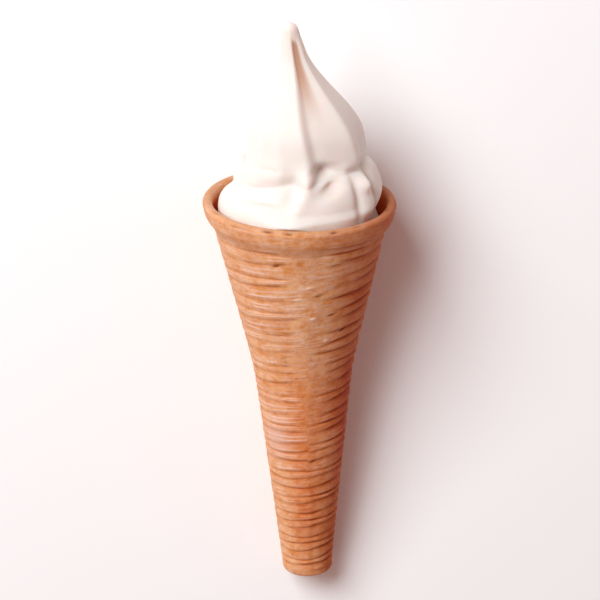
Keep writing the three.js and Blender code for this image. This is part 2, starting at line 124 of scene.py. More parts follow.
def wall_radius(height):
    """A straight taper, plus the extra taper of the mouth times a ramp softened at the bend."""
    above = BEND_SOFTNESS * np.log1p(np.exp((height - BEND_HEIGHT) / BEND_SOFTNESS))
    return FOOT_RADIUS + FOOT_TAPER * height + (MOUTH_TAPER - FOOT_TAPER) * above


def rim_slant(turn):
    """How much higher the rim is at a turn: one wave round the cone, highest at the left."""
    return -RIM_SLANT * np.sin(np.radians(turn))


def lip_share(height, turn):
    """How much of the lip's flare is reached: 0 under the band, 1 near the rim."""
    level = height - rim_slant(turn)
    return smooth_step(level, CONE_LENGTH - LIP_BAND, CONE_LENGTH - LIP_SHOULDER)


def outer_radius(height, turn):
    """The wall with the lip's flare."""
    return wall_radius(height) + LIP_FLARE * lip_share(height, turn)


def inner_radius(height, turn):
    """The wall less its thickness, with the smaller flare of the inside."""
    return wall_radius(height) + LIP_INNER_FLARE * lip_share(height, turn) - WALL


def slanted(level, turn):
    """What is level at the foot follows the rim's slant more and more towards the lip."""
    share = smooth_step(level, SLANT_START, CONE_LENGTH - LIP_BAND)
    return level + rim_slant(turn) * share


print("lip across:", round(2 * float(outer_radius(CONE_LENGTH - WALL / 2, 0.0)), 1), "mm")

# %% [markdown]
# ## Ribs of the baking plate
#
# The biscuit was baked on a grooved plate, so its ribs were straight and even. They could be one
# long screw thread swept up the cone. Here each has its own rows instead: a row's number is its
# rib and how far it is through that rib, so a few rows draw each rib sharply. The pitch grows in
# proportion to the height, and so the heights grow exponentially with that number.

# %% Where each rib is
RIB_COUNT = 35
FIRST_RIB_HEIGHT = 2.6
FOOT_PITCH = 2.85
PITCH_GROWTH = 0.0135
RIB_UNEVEN_PITCH = 0.17
RIB_PITCH_SHIFT = 2.3
RIB_CREST_PHASE = 0.28  # how far through a rib its crest is
RIB_RUN_IN = 1.0
RIB_FOOT_FADE = 2.0
RIB_LIP_FADE = 2.5


def rib_height(number):
    """The height at which a pitch that grows with height brings this many ribs."""
    offset = FOOT_PITCH / PITCH_GROWTH
    return (FIRST_RIB_HEIGHT + offset) * np.exp(PITCH_GROWTH * number) - offset


def rib_share(height, lip_fade=RIB_LIP_FADE):
    """1 along the ribbed stretch, and 0 at the foot and, after a fade, at the lip's plain band."""
    last = rib_height(RIB_COUNT)
    start = FIRST_RIB_HEIGHT - RIB_RUN_IN
    from_foot = smooth_step(height, start, FIRST_RIB_HEIGHT + RIB_FOOT_FADE)
    return from_foot * (1.0 - smooth_step(height, last - lip_fade, last))


def past_crest(number):
    """0 up to a rib's crest, and then evenly up to 1 at the next groove."""
    phase = number - np.floor(number)
    return np.clip((phase - RIB_CREST_PHASE) / (1.0 - RIB_CREST_PHASE), 0.0, 1.0)


def rib_level(number):
    """A row's height before it is tipped. Each rib is shifted a little, crest and groove alike."""
    rib = np.floor(number)
    shifts = np.sin(RIB_PITCH_SHIFT * rib), np.sin(RIB_PITCH_SHIFT * (rib + 1.0))
    return rib_height(number + RIB_UNEVEN_PITCH * between(shifts, past_crest(number)))


print("last rib line at", round(float(rib_height(RIB_COUNT)), 1), "mm of", CONE_LENGTH)

# %% [markdown]
# ## Ribs that are tipped and miss each other
#
# Rolled up into a cone, the ribs lie in tipped planes, and none stays quite straight. The free
# edge of the roll meets the start of it half a rib out of step, except near the foot, where the
# mould's plain rings closed over the seam.

# %% Tip, waver and jump of the ribs
CLIMB_LIP_FADE = 9.0  # tip and waver fade out over this much below the lip's plain band
RIB_WAVER = 0.28
RIB_WAVER_WAVES = 3
RIB_WAVER_SHIFT = 2.1
RIB_CLIMB_SIDE = (0.85, 2.15)  # at the foot and at the mouth
RIB_CLIMB_FRONT = (-0.85, 1.35)
SEAM_RIB_JUMP = 0.45
JUMP_START = (30.0, 75.0)


def rib_climb(turn, level):
    """Ribs lie in planes tipped to the right and to the front, more so near the mouth."""
    share = level / CONE_LENGTH
    side = between(RIB_CLIMB_SIDE, share) * np.sin(np.radians(turn))
    front = between(RIB_CLIMB_FRONT, share) * np.cos(np.radians(turn))
    return side + front


def rib_waver(turn, number):
    """Each rib wavers up and down in three waves round the cone, mixed past the crest."""
    rib = np.floor(number)
    round_waves = RIB_WAVER_WAVES * np.radians(turn)
    wavers = [np.sin(round_waves + RIB_WAVER_SHIFT * (rib + step)) for step in (0.0, 1.0)]
    return RIB_WAVER * between(wavers, past_crest(number))


def rib_jump(level):
    """How far the ribs miss each other at the seam: nothing near the foot, then half a pitch."""
    pitch = FOOT_PITCH + PITCH_GROWTH * level
    return SEAM_RIB_JUMP * pitch * smooth_step(level, *JUMP_START)


print("at the mouth they miss each other by", round(float(rib_jump(CONE_LENGTH)), 1), "mm")

# %% [markdown]
# ## The seam
#
# The free edge of the roll was pressed down over its start while the biscuit was soft, so it is
# hardly there: a low slope that wanders from side to side. Columns of the surface start and end
# at that edge, which lets the ribs on either side of it be out of step.

# %% Columns that start and end at the seam
SEAM_TURN = 6.0
SEAM_STEP = 0.3
SEAM_SLOPE = 12.0  # degrees right of the seam over which it slopes down
SEAM_WANDER = 5.0
SEAM_WAVES = 2.6
CONE_COLUMNS = 186
CONE_CROWDING = 27.0  # degrees by which columns lean towards the front


def seam_columns(count):
    """How far round the roll each column is, from just right of the seam to just left of it."""
    share = (np.arange(count) + 0.5) / count
    return FULL_TURN * share - CONE_CROWDING * np.sin(2.0 * np.pi * share)


def seam_shift(level):
    """The edge wanders to the left as a squared wave."""
    wave = np.sin(2.0 * np.pi * SEAM_WAVES * level / CONE_LENGTH)
    return -SEAM_WANDER * wave * wave * rib_share(level)


def column_turn(past, level):
    """Columns near the seam follow it, and less and less so up to a quarter turn away."""
    away = np.minimum(past, FULL_TURN - past)
    follow = 1.0 - smooth_step(away, 0.0, HALF_TURN / 2)
    return SEAM_TURN + past + seam_shift(level) * follow


def seam_relief(past):
    """Growing evenly round the roll up to the free edge, and down its slope beyond it."""
    return SEAM_STEP * (past / FULL_TURN - smooth_step(past, 0.0, SEAM_SLOPE))


past = seam_columns(CONE_COLUMNS)
print("columns are up to", np.diff(past).max().round(2), "degrees apart")

# %% [markdown]
# ## Patches by chance
#
# Nothing baked is even. Blender's noise textures only reach the material, so this is value noise
# in numpy, random numbers on a lattice, smoothly filled in. The same patches can then change the
# shape and the colour.

# %% Value noise
SEED = 7
TABLE_SIZE = 4096
HASH_STEPS = np.array([1619, 31337, 6971])
NOISE_TABLE = np.random.default_rng(SEED).random(TABLE_SIZE)


def noise(points, cell):
    """Value noise from -1 to 1: a random number at each corner of cubes of the given size, mixed
    by a smooth step along x, y and z. The corner's number comes from a table, by a hash."""
    scaled = points / cell
    low = np.floor(scaled).astype(np.int64)
    share = smooth_step(scaled - low, 0.0, 1.0)
    total = 0.0
    for corner in np.ndindex(2, 2, 2):
        key = (low + corner) @ HASH_STEPS % TABLE_SIZE
        weight = np.prod(np.where(np.array(corner) == 1, share, 1.0 - share), axis=-1)
        total = total + weight * NOISE_TABLE[key]
    return 2.0 * total - 1.0


print("mean of the noise table:", round(float(NOISE_TABLE.mean()), 3))

# %% [markdown]
# ## Relief of the ribs
#
# A rib rises quickly from its groove to a rounded crest, and then slopes gently back, like a
# shingle. Left of the front the ribs are shallow, and they get deep towards the right. With one
# depth all round they would look turned on a lathe, so waves and noise vary it.

# %% Profile and depth of a rib
RIB_DEPTH = 0.66
RIB_BACK_POWER = 2.2  # the higher, the later the slope back gets steep
RIB_FRONT_SHARE = (0.36, 0.2)  # of the depth that is left at the front, at the foot and the mouth
RIB_FRONT_TURN = -58.0
RIB_FRONT_HALF = 70.0
RIB_UNEVEN_DEPTH = 0.24
RIB_DEPTH_WAVES = (2, 3)
RIB_DEPTH_SHIFTS = (1.9, -0.7)
RIB_PATCHES = 0.6  # how much the depth also varies in patches
PATCH_TURN = 16.0  # degrees and ribs over which it does
PATCH_RIBS = 1.3


def rib_rise(number):
    """0 in the groove, 1 on the crest: a quarter wave up, and a slope that steepens going back."""
    phase = number - np.floor(number)
    up = np.sin(np.clip(phase / RIB_CREST_PHASE, 0.0, 1.0) * np.pi / 2)
    return np.where(phase < RIB_CREST_PHASE, up, 1.0 - past_crest(number) ** RIB_BACK_POWER)


def rib_patches(turn, number, shift=0.0):
    """Noise on a drum as wide round as it has degrees, so that it closes on itself."""
    drum = FULL_TURN / (2.0 * np.pi)
    return noise(place(drum, turn, number * PATCH_TURN / PATCH_RIBS + shift), PATCH_TURN)


def rib_depth(turn, number, level):
    """Two sets of waves round the cone, which move on from rib to rib, patches of noise, and a
    share that is left at the front."""
    depths = []
    for rib in (np.floor(number), np.floor(number) + 1.0):
        wave = 0.0
        for count, shift in zip(RIB_DEPTH_WAVES, RIB_DEPTH_SHIFTS):
            wave = wave + np.sin(count * np.radians(turn) + shift * rib)
        depths.append(RIB_DEPTH * (1.0 + RIB_UNEVEN_DEPTH * wave))
    front = bell(turn_between(RIB_FRONT_TURN, turn), RIB_FRONT_HALF)
    front_share = 1.0 - (1.0 - between(RIB_FRONT_SHARE, level / CONE_LENGTH)) * front
    patches = 1.0 + RIB_PATCHES * rib_patches(turn, number)
    return between(depths, number - np.floor(number)) * front_share * patches


depths_behind = rib_depth(HALF_TURN, np.arange(float(RIB_COUNT)), CONE_LENGTH / 2)
print("grooves behind:", depths_behind.min().round(2), "to", depths_behind.max().round(2), "mm")

# %% [markdown]
# ## Where ribs run out
#
# Left of the seam a rib runs out a little way before it, each at its own place, so that the seam
# hardly shows. Right of it the grooves start one by one. If all of them stopped at one line, it
# would draw an edge up the cone. Two fine raised lines run along each rib, from finer grooves of
# the plate. They are strongest left of the front, on the lit side, and their pale colour is a
# painted highlight.

# %% Rib ends and fine lines
CHANCE_CHANGE = 0.7  # how far through a rib its chance starts to change to the next one's
END_DRAW = 100  # where in the table the chances of rib ends and of groove starts begin
START_DRAW = 200
RIB_END = (1.0, 15.0)  # degrees left of the seam between which a rib runs out, and over which
RIB_END_LENGTH = 16.0
GROOVE_START = (0.0, 22.0)  # degrees right of it between which a groove starts, and over which
GROOVE_START_LENGTH = 20.0
LINE_PHASES = (0.36, 0.66)  # how far through a rib its fine lines are
LINE_HALF = 0.06
LINE_HEIGHT = 0.1
LINE_END_LENGTH = 5.0  # degrees over which they run out at the seam
LINE_TURN = -42.0  # they are strongest here, on the lit side, and this share of that all round; their pale colour is a painted highlight
LINE_SPREAD = 42.0
LINE_ALL_ROUND = 0.3
LINE_START = (15.0, 50.0)  # heights over which they begin
LINE_BREAKS = (0.45, 1.6)  # their strength at a noise of 0, and what the noise adds
LINE_MOST = 1.2
LINE_DRAW = 600.0  # how far up their noise is taken from


def rib_chance(number, draw):
    """A random number from 0 to 1 for each rib, which changes over just before the next groove."""
    rib = np.floor(number).astype(int) + draw
    change = smooth_step(number % 1.0, CHANCE_CHANGE, 1.0)
    return between((NOISE_TABLE[rib], NOISE_TABLE[rib + 1]), change)


def beside_seam(past, number, level):
    """Share of a rib that is left near the seam, where it runs out on either side by chance."""
    ends = between(RIB_END, rib_chance(number, END_DRAW))
    left = smooth_step(FULL_TURN - past, ends, ends + RIB_END_LENGTH)
    starts = between(GROOVE_START, rib_chance(number, START_DRAW))
    right = smooth_step(past, starts, starts + GROOVE_START_LENGTH)
    return between((1.0, left * right), smooth_step(level, *JUMP_START))


def line_strength(turn, number, level):
    """How far the fine lines stand out, and how strong their painted highlight is: most left of
    the front, on the lit side, and broken by noise.
    """
    spread = between((LINE_ALL_ROUND, 1.0), bell(turn_between(LINE_TURN, turn), LINE_SPREAD))
    patches = rib_patches(turn, 2.0 * number, LINE_DRAW)
    broken = np.clip(LINE_BREAKS[0] + LINE_BREAKS[1] * patches, 0.0, LINE_MOST)
    return spread * broken * smooth_step(level, *LINE_START)


def line_end(past, level):
    """Share of the fine lines that is left near the seam."""
    from_seam = smooth_step(np.minimum(past, FULL_TURN - past), 0.0, LINE_END_LENGTH)
    return between((1.0, from_seam), smooth_step(level, *JUMP_START))


rib_ends = between(RIB_END, rib_chance(np.arange(float(RIB_COUNT)), END_DRAW))
print("ribs end", rib_ends.min().round(1), "to", rib_ends.max().round(1), "degrees from the seam")

# %% [markdown]
# ## Painted shade in the grooves
#
# The grooves are painted darker than the crests, as painted shade in them. That painted shade
# grows towards the roll's right side, away from the light, and is paler near the foot. Noise
# breaks the dark lines up. This number goes to the material, and changes nothing of the shape.

# %% Strength of the grooves' painted shade
SHADE_TURN = (-30.0, 60.0)  # turns over which the grooves' painted shade gets darker, away from the light
PALE_GROOVE = 0.3  # what their darkness starts from
FOOT_GROOVE = 0.45  # share of it that is left near the foot
FOOT_GROOVE_HEIGHTS = (25.0, 70.0)
GROOVE_BREAKS = (0.6, 1.3)  # their darkness at a noise of 0, and what the noise adds
GROOVE_DRAW = 900.0  # how far up their noise is taken from


def painted_groove_shade(turn, number, level):
    """Painted shade in the grooves: noise times a share that grows to the right and one that
    grows from the foot.
    """
    patches = rib_patches(turn, number, GROOVE_DRAW)
    broken = np.clip(GROOVE_BREAKS[0] + GROOVE_BREAKS[1] * patches, 0.0, 1.0)
    shade = between((PALE_GROOVE, 1.0), smooth_step(turn_between(0.0, turn), *SHADE_TURN))
    near_foot = between((FOOT_GROOVE, 1.0), smooth_step(level, *FOOT_GROOVE_HEIGHTS))
    return broken * shade * near_foot


shades = painted_groove_shade(HALF_TURN, np.arange(float(RIB_COUNT)), CONE_LENGTH / 2)
print("grooves behind are", shades.min().round(2), "to", shades.max().round(2), "dark")

# %% [markdown]
# ## Marks that follow no rule
#
# A few raised rib ends get a painted highlight, and some short cracks painted shade. They are
# in a list, and each is a bell round the cone times a bell up it, along a line that may climb.
# Painted on alone, they would cast no shadow, so they are raised and sunk in the surface too.

# %% Rib ends and cracks
BISCUIT_MARKS = (
    # turn, height, half width in degrees, half height, climb per degree, how far it stands out
    (6, 120.2, 3.5, 0.35, 0.02, 0.2),
    (3, 115.6, 6, 0.35, 0.03, 0.2),
    (-4, 111.2, 4.5, 0.4, 0.03, 0.2),
    (8, 103.4, 2.5, 0.5, 0.03, 0.22),
    (21.5, 94.2, 2, 0.5, 0.05, 0.22),
    (-17, 124, 3, 0.35, 0.1, -0.35),
    (13, 112.3, 4, 0.35, 0.07, -0.3),
    (23, 123, 3.5, 0.35, 0.05, -0.3),
    (25, 104, 3, 0.4, 0.07, -0.3),
    (39, 96.8, 3.5, 0.4, 0.1, -0.35),
    (-12, 88.5, 9, 0.3, 0.1, -0.12),
    (-18, 86, 1.2, 2.4, 0, -0.07),
    (12, 47, 4, 0.35, 0.08, -0.3),
)


def mark_bells(marks, turn, height):
    """For each mark, how far it stands out, its bell round the cone and its bell up it."""
    for mark_turn, middle, half, tall, climb, out in marks:
        away = turn_between(mark_turn, turn)
        yield out, bell(away, half), bell(height - middle - climb * away, tall)


def biscuit_marks(turn, height):
    """What stands out, and what goes in, as the sum of all marks of that kind."""
    raised, sunk = 0.0, 0.0
    for out, across, up in mark_bells(BISCUIT_MARKS, turn, height):
        mark = abs(out) * across * up
        raised, sunk = raised + mark * (out > 0.0), sunk + mark * (out < 0.0)
    return raised, sunk


print("marks on the biscuit:", len(BISCUIT_MARKS))

# %% [markdown]
# ## Ribbed rows
#
# Rows could be spaced evenly, but then a groove would need hundreds of them. They are crowded
# where the profile turns: at the groove, at the crest and on the two fine lines.

# %% Points of the ribbed rows
RIB_PHASES = np.array(
    [0.0, 0.05, 0.12, 0.2, 0.28, 0.32, 0.36, 0.4, 0.5, 0.61, 0.66, 0.71, 0.82, 0.92]
)
MARK_TINT = (4.0, 3.0)  # how strongly raised and sunk marks are coloured, for each millimetre: painted highlight and painted shade
DEEPEST = 1.2  # depth at which the groove's painted shade is full, in rib depths


def ribbed_rows(past):
    """Points of a row for each phase of each rib, and for the finish the rib's number and how
    deep in a groove they are, for its painted shade, the strength of the grooves' painted shade
    and of the fine lines there, and the marks."""
    number = (np.arange(RIB_COUNT)[:, None] + RIB_PHASES).reshape(-1, 1)
    rise = rib_rise(number)
    level = rib_level(number)
    jump = rib_jump(level) * (past / FULL_TURN - 0.5)
    turn = column_turn(past, level + jump)
    moved = jump + rib_waver(turn, number) + rib_climb(turn, level)
    height = slanted(level, turn) + moved * rib_share(level, CLIMB_LIP_FADE)
    left = beside_seam(past, number, level) * rib_share(height)
    depth = rib_depth(turn, number, level) * left
    raised, sunk = biscuit_marks(turn, height)
    lines = line_strength(turn, number, level) * rib_share(height) * line_end(past, level)
    ridges = sum(bell(number % 1.0 - phase, LINE_HALF) for phase in LINE_PHASES)
    radius = outer_radius(height, turn) + seam_relief(past) * rib_share(height)
    radius = radius + (rise - 1.0) * depth + LINE_HEIGHT * lines * ridges + raised - sunk
    # painted shade in each groove, darker the deeper it is
    deep = (1.0 - rise) * np.clip(depth / RIB_DEPTH, 0.0, DEEPEST)
    grooves = painted_groove_shade(turn, number, level) * left
    # raised marks give a painted highlight, sunk ones painted shade
    marks = MARK_TINT[0] * raised, MARK_TINT[1] * sunk
    return place(radius, turn, height), number, (deep, grooves, lines, *marks)


ribbed, ribbed_number, ribbed_finish = ribbed_rows(past)
print("ribbed rows:", len(ribbed))

# %% [markdown]
# ## One closed surface for the cone
#
# The rows run from the foot's flat end, round its edge, up the ribs, over the lip's round crown
# and down the inside to the biscuit that closes the foot. Both ends close on a point of the axis.

# %% Plain rows, and all of them together
FOOT_ROUND = 1.6
FOOT_STEPS = 7
BAND_ROWS = 10
CROWN_ROWS = 13
INNER_ROWS = 8

edge_angle = np.linspace(0.0, np.pi / 2, FOOT_STEPS)[:, None]
foot_levels = FOOT_ROUND * (1.0 - np.cos(edge_angle[:, 0]))
crown_base = CONE_LENGTH - WALL / 2
band_levels = np.linspace(rib_level(RIB_COUNT), crown_base, BAND_ROWS)
crown_angle = np.linspace(0.0, np.pi, CROWN_ROWS)[1:, None]
crown_raised = WALL / 2 * np.sin(crown_angle)
inner_levels = between((crown_base, FOOT_FLOOR), np.linspace(0.0, 1.0, INNER_ROWS)[1:] ** 2)


def plain_rows(levels, radius_at, past):
    """Rows with nothing of the ribs, whose radius is a function of height and turn."""
    turn = column_turn(past, levels[:, None])
    height = slanted(levels[:, None], turn)
    return place(radius_at(height, turn), turn, height)


def foot_radius(height, turn):
    """The wall, drawn in by a quarter circle at the foot's edge."""
    return outer_radius(height, turn) - FOOT_ROUND * (1.0 - np.sin(edge_angle))


def crown_radius(height, turn):
    """A half circle over from the outside to the inside."""
    base = height - crown_raised
    ends = outer_radius(base, turn), inner_radius(base, turn)
    return between(ends, (1.0 - np.cos(crown_angle)) / 2)


cone_rows = [
    plain_rows(foot_levels, foot_radius, past),
    ribbed,
    plain_rows(band_levels, outer_radius, past),
    plain_rows(crown_base + crown_raised[:, 0], crown_radius, past),
    plain_rows(inner_levels, inner_radius, past),
]
print("cone rows:", [len(rows) for rows in cone_rows], "of", CONE_COLUMNS, "points")

# %% [markdown]
# ## Laying it down
#
# The cone rests on its lip and on its foot. The line between those two contacts is tipped level,
# and points that would sink below the floor are set on it, which makes two small flats, as a soft
# biscuit has where it lay. The tip of the solid model says where along the floor the pair lies.

# %% From the cone's own frame to the solid model's
FLAT_DEPTH = 0.45
LIP_CONTACT = CONE_LENGTH - 3.0
FOOT_CONTACT = 4.0
CREAM_LEVEL = 136.3  # the cream's heights are measured from here, just below the rim
TIP_HEIGHT = 61.7

lip_point = place(outer_radius(LIP_CONTACT, HALF_TURN), HALF_TURN, LIP_CONTACT)
foot_point = place(outer_radius(FOOT_CONTACT, HALF_TURN), HALF_TURN, FOOT_CONTACT)
LAY_ANGLE = np.arctan2(*(lip_point - foot_point)[1:])
ALONG = np.array([0.0, np.sin(LAY_ANGLE), np.cos(LAY_ANGLE)])
UPWARDS = np.array([0.0, -np.cos(LAY_ANGLE), np.sin(LAY_ANGLE)])
FLOOR_LEVEL = float(lip_point @ UPWARDS) + FLAT_DEPTH
cad_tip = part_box("soft_serve")[1].y / MILLIMETRE
TIP_PLACE = cad_tip - float(np.array([0.0, 0.0, CREAM_LEVEL + TIP_HEIGHT]) @ ALONG)


def lay_down(points):
    """Points of the cone's own frame, in millimetres, as points of the model's, in metres."""
    along = points @ ALONG + TIP_PLACE
    upwards = np.maximum(points @ UPWARDS - FLOOR_LEVEL, 0.0)
    return np.stack([points[..., 0], along, upwards], axis=-1) * MILLIMETRE


print("tipped over to", round(float(np.degrees(LAY_ANGLE)), 2), "degrees from level")

# %% [markdown]
# ## From rows to a mesh
#
# Every row has the same number of points, so the faces between rows are one array: each point,
# its right neighbour and the same two of the next row. A fan of triangles closes either end.

# %% Build a closed mesh from rows


def closed_mesh(name, first_point, rows, last_point, attributes):
    """Quads between the rows and a fan at either end, with one number per point for materials."""
    count, columns = rows.shape[:2]
    points = np.vstack([first_point, rows.reshape(-1, 3), last_point])
    here = 1 + np.arange(count * columns).reshape(count, columns)
    right = np.roll(here, -1, axis=1)
    quads = np.stack([here[:-1], right[:-1], right[1:], here[1:]], axis=-1).reshape(-1, 4)
    first = np.stack([np.zeros(columns, int), right[0], here[0]], axis=-1)
    last = np.stack([here[-1], right[-1], np.full(columns, len(points) - 1)], axis=-1)
    mesh = bpy.data.meshes.new(name)
    mesh.from_pydata(lay_down(points), [], quads.tolist() + first.tolist() + last.tolist())
    mesh.polygons.foreach_set("use_smooth", np.ones(len(mesh.polygons), bool))
    for label, values in attributes.items():
        padded = np.concatenate([values[:1, 0], values.ravel(), values[-1:, 0]])
        mesh.attributes.new(label, "FLOAT", "POINT").data.foreach_set("value", padded)
    mesh.validate()
    piece = bpy.data.objects.new(name, mesh)
    scene.collection.objects.link(piece)
    print(name, "has", len(mesh.loops) - 2 * len(mesh.polygons), "triangles")
    return piece


# %% [markdown]
# ## Cracks in the lip
#
# The crown has cracks and slots where the wafer was bent over. They could be cut with a Boolean,
# but its edges would be hard, and biscuit crumbles. So each is a soft bell that is sunk into the
# crown's own curve.

# %% Cracks and slots in the crown
LIP_MARKS = (
    # turn, degrees over the crown from its outside, half width, half height, depth
    (-38.0, 8.0, 9.0, 0.28, 0.5),
    (-19.5, 40.0, 3.0, 0.45, 0.9),
    (-7.0, 35.0, 2.2, 0.4, 0.8),
    (20.0, 35.0, 2.2, 0.4, 0.8),
    (36.0, 60.0, 3.0, 0.3, 0.4),
    (-62.0, 80.0, 2.5, 0.4, 0.4),
    (71.0, 100.0, 2.6, 0.45, 0.6),
)


def lip_marks(turn):
    """Cracks and slots in the crown: a bell along the rim times a bell over the crown."""
    marks = 0.0
    for mark_turn, angle, half, tall, depth in LIP_MARKS:
        over = (crown_angle - np.radians(angle)) * WALL / 2
        marks = marks + depth * bell(over, tall) * bell(turn_between(mark_turn, turn), half)
    return marks


print("marks on the crown:", len(LIP_MARKS))

# %% [markdown]
# ## Crumb, and an uneven lip
#
# The skin of the biscuit is faintly bumpy, and the pressed lip isn't quite even. A displacement
# by a texture could do both, but worked into the rows they only ever go inwards, so that the
# piece stays inside the solid.

# %% Rough rows of the cone
CRUMB_HEIGHT = 0.05
CRUMB_CELLS = (1.2, 4.5)  # millimetres from one random number to the next
LIP_WANDER = 0.3
LIP_WANDER_CELL = 13.0
LIP_WANDER_MIDDLE = 0.5  # the lip wanders inwards more than outwards
RIB_PITCH = 4.2  # a rib counts as this many millimetres along the roll
DRUM_RADIUS = 4.0  # the roll's noise is drawn out round the cone, as this is less than the cone's

cone_surface = np.concatenate(cone_rows)
cone_turn = np.degrees(np.arctan2(cone_surface[..., 0], -cone_surface[..., 1]))
ribs = slice(len(foot_levels), len(foot_levels) + len(ribbed))
crown_start = ribs.stop + BAND_ROWS
crown = slice(crown_start, crown_start + len(crown_angle))
is_outside = (np.arange(len(cone_surface)) < crown.stop)[:, None]
crown_marks = lip_marks(cone_turn[crown])


def rough_surface(rows):
    """The rows with crumb and a wandering lip, and with the crown's marks sunk into its curve."""
    rows = rows.copy()
    radius = np.hypot(rows[..., 0], rows[..., 1])
    crumb = sum(noise(rows, cell) for cell in CRUMB_CELLS) - len(CRUMB_CELLS)
    moved = radius + CRUMB_HEIGHT * crumb * is_outside
    lip = smooth_step(rows[..., 2], CONE_LENGTH - LIP_BAND, CONE_LENGTH - WALL) * is_outside
    wander = LIP_WANDER * (noise(rows, LIP_WANDER_CELL) - LIP_WANDER_MIDDLE) * lip
    moved = moved + wander
    moved[crown] -= crown_marks * np.cos(crown_angle)
    rows[..., :2] *= (moved / radius)[..., None]
    rows[..., 2] += wander
    rows[crown, :, 2] -= crown_marks * np.sin(crown_angle)
    return rows


cone_points = rough_surface(cone_surface)
print("crumb and cracks move points by up to", round(np.abs(cone_points - cone_surface).max(), 2))

# %% [markdown]
# ## Painted shade, orange and flour on the biscuit
#
# The same points carry numbers for the material. The roll's right side, away from the light, and
# its inside get painted shade, in uneven patches. Its front is more orange low down, one patch on
# the right gets more painted shade and one kept its flour. Painting this by hand would be lost
# when the shape changes, and bells and smooth steps aren't.

# %% Painted shade, orange and flour
SHADED_SIDE_TURNS = (2.0, 68.0)  # turns over which painted shade makes the wafer darker
SHADED_SIDE_FADE = (110.0, 180.0)  # and over which that painted shade fades again behind
BROWNED_UNEVEN = 0.25  # how much patches of noise change that
BROWNED_CELL = 9.0
TOASTED_HEIGHT = (62.0, 100.0)  # heights over which the orange of the front fades out
TOASTED_FOOT = 0.6  # share of it that is left near the foot
TOASTED_FOOT_HEIGHTS = (8.0, 45.0)
TOASTED_TURN = 2.0
TOASTED_HALF = 30.0
TOASTED_LIP = 0.15  # and how orange the lip is
TOASTED_UNEVEN = (0.7, 0.1)  # its strength at a noise of 0, and what the noise adds
SHADED_BELT = (65.0, 62.0, 20.0, 24.0)  # turn, height and half widths of a patch of painted shade on the right side
SHADED_BELT_STRENGTH = 0.9
DUSTING = (-42.0, 56.0, 24.0, 9.0)  # and of the one with flour
DUSTING_UNEVEN = (0.6, 0.9)


def surface_bell(patch):
    """A bell round the cone times a bell up it."""
    turn, height, half, tall = patch
    return bell(turn_between(turn, cone_turn), half) * bell(cone_height - height, tall)


cone_height = cone_points[..., 2]
patches = noise(cone_points, BROWNED_CELL)
# painted shade on the right side, away from the light, fading behind and uneven by noise; the
# inside is all painted shade
browning_and_shade = smooth_step(cone_turn, *SHADED_SIDE_TURNS) * (1.0 - smooth_step(cone_turn, *SHADED_SIDE_FADE))
browning_and_shade = np.clip(browning_and_shade + BROWNED_UNEVEN * patches, 0.0, 1.0)
browning_and_shade = np.where(is_outside, browning_and_shade, 1.0)
at_front = bell(turn_between(TOASTED_TURN, cone_turn), TOASTED_HALF)
toasting_and_shade = (1.0 - smooth_step(cone_height, *TOASTED_HEIGHT)) * at_front
toasting_and_shade *= between((TOASTED_FOOT, 1.0), smooth_step(cone_height, *TOASTED_FOOT_HEIGHTS))
lip_band = smooth_step(cone_height, CONE_LENGTH - LIP_BAND, CONE_LENGTH - LIP_SHOULDER)
toasting_and_shade += TOASTED_LIP * lip_band
toasting_and_shade *= TOASTED_UNEVEN[0] + TOASTED_UNEVEN[1] * patches
# painted shade: a patch on the right side, and all of the inside
toasting_and_shade = np.where(is_outside, toasting_and_shade + SHADED_BELT_STRENGTH * surface_bell(SHADED_BELT), 1.0)
flour = np.clip(DUSTING_UNEVEN[0] + DUSTING_UNEVEN[1] * patches, 0.0, 1.0)
dusting = surface_bell(DUSTING) * flour
print("mean browning:", browning_and_shade.mean().round(2), "toasting:", toasting_and_shade.mean().round(2))

# %% [markdown]
# ## The cone as a mesh
#
# The finish of the ribs is known at the ribbed rows alone, so it is 0 everywhere else. The roll
# is a narrow drum round which the ribs' numbers are counted up as millimetres: noise read on it
# comes out as streaks along the ribs.

# %% Numbers for the material, and the cone
cone_finish = np.zeros((len(ribbed_finish) + 1, *cone_turn.shape))
cone_finish[:-1, ribs] = ribbed_finish
# the crown's cracks and slots get the same painted shade
cone_finish[-2, crown] += crown_marks
# how far over the crown a point is, for painted shade on the crown's top
cone_finish[-1, crown] = np.sin(crown_angle)
roll_length = cone_height.copy()
roll_length[ribs] = ribbed_number * RIB_PITCH
roll = place(DRUM_RADIUS, cone_turn, roll_length)
# Several of these numbers carry painted light: painted shade in grooves, cracks, on the right
# side, inside and on the crown's top, and a painted highlight on rib ends and fine lines.
labels = "deep groove fine_line rib_end crack crown browning toasting dusting roll_x roll_y roll_z"
numbers = *cone_finish, browning_and_shade, toasting_and_shade, dusting, *np.moveaxis(roll, -1, 0)
cone_attributes = dict(zip(labels.split(), numbers))
foot_point, floor_point = [0.0, 0.0, 0.0], [0.0, 0.0, FOOT_FLOOR]
cone = closed_mesh("biscuit_cone", foot_point, cone_points, floor_point, cone_attributes)
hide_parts("cone")
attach(cone, "root")

# %% [markdown]
# ## Soft serve: the coil
#
# The machine lays one thick coil inside the lip. It starts low at the left, climbs as it goes
# round and runs on as a smaller upper turn over its own start. It could be a round rope swept
# along a spiral, but its turns would be separate skins. Here the cream has one radius for each
# turn and height: the largest of the coil's, the upper turn's and the peak's.

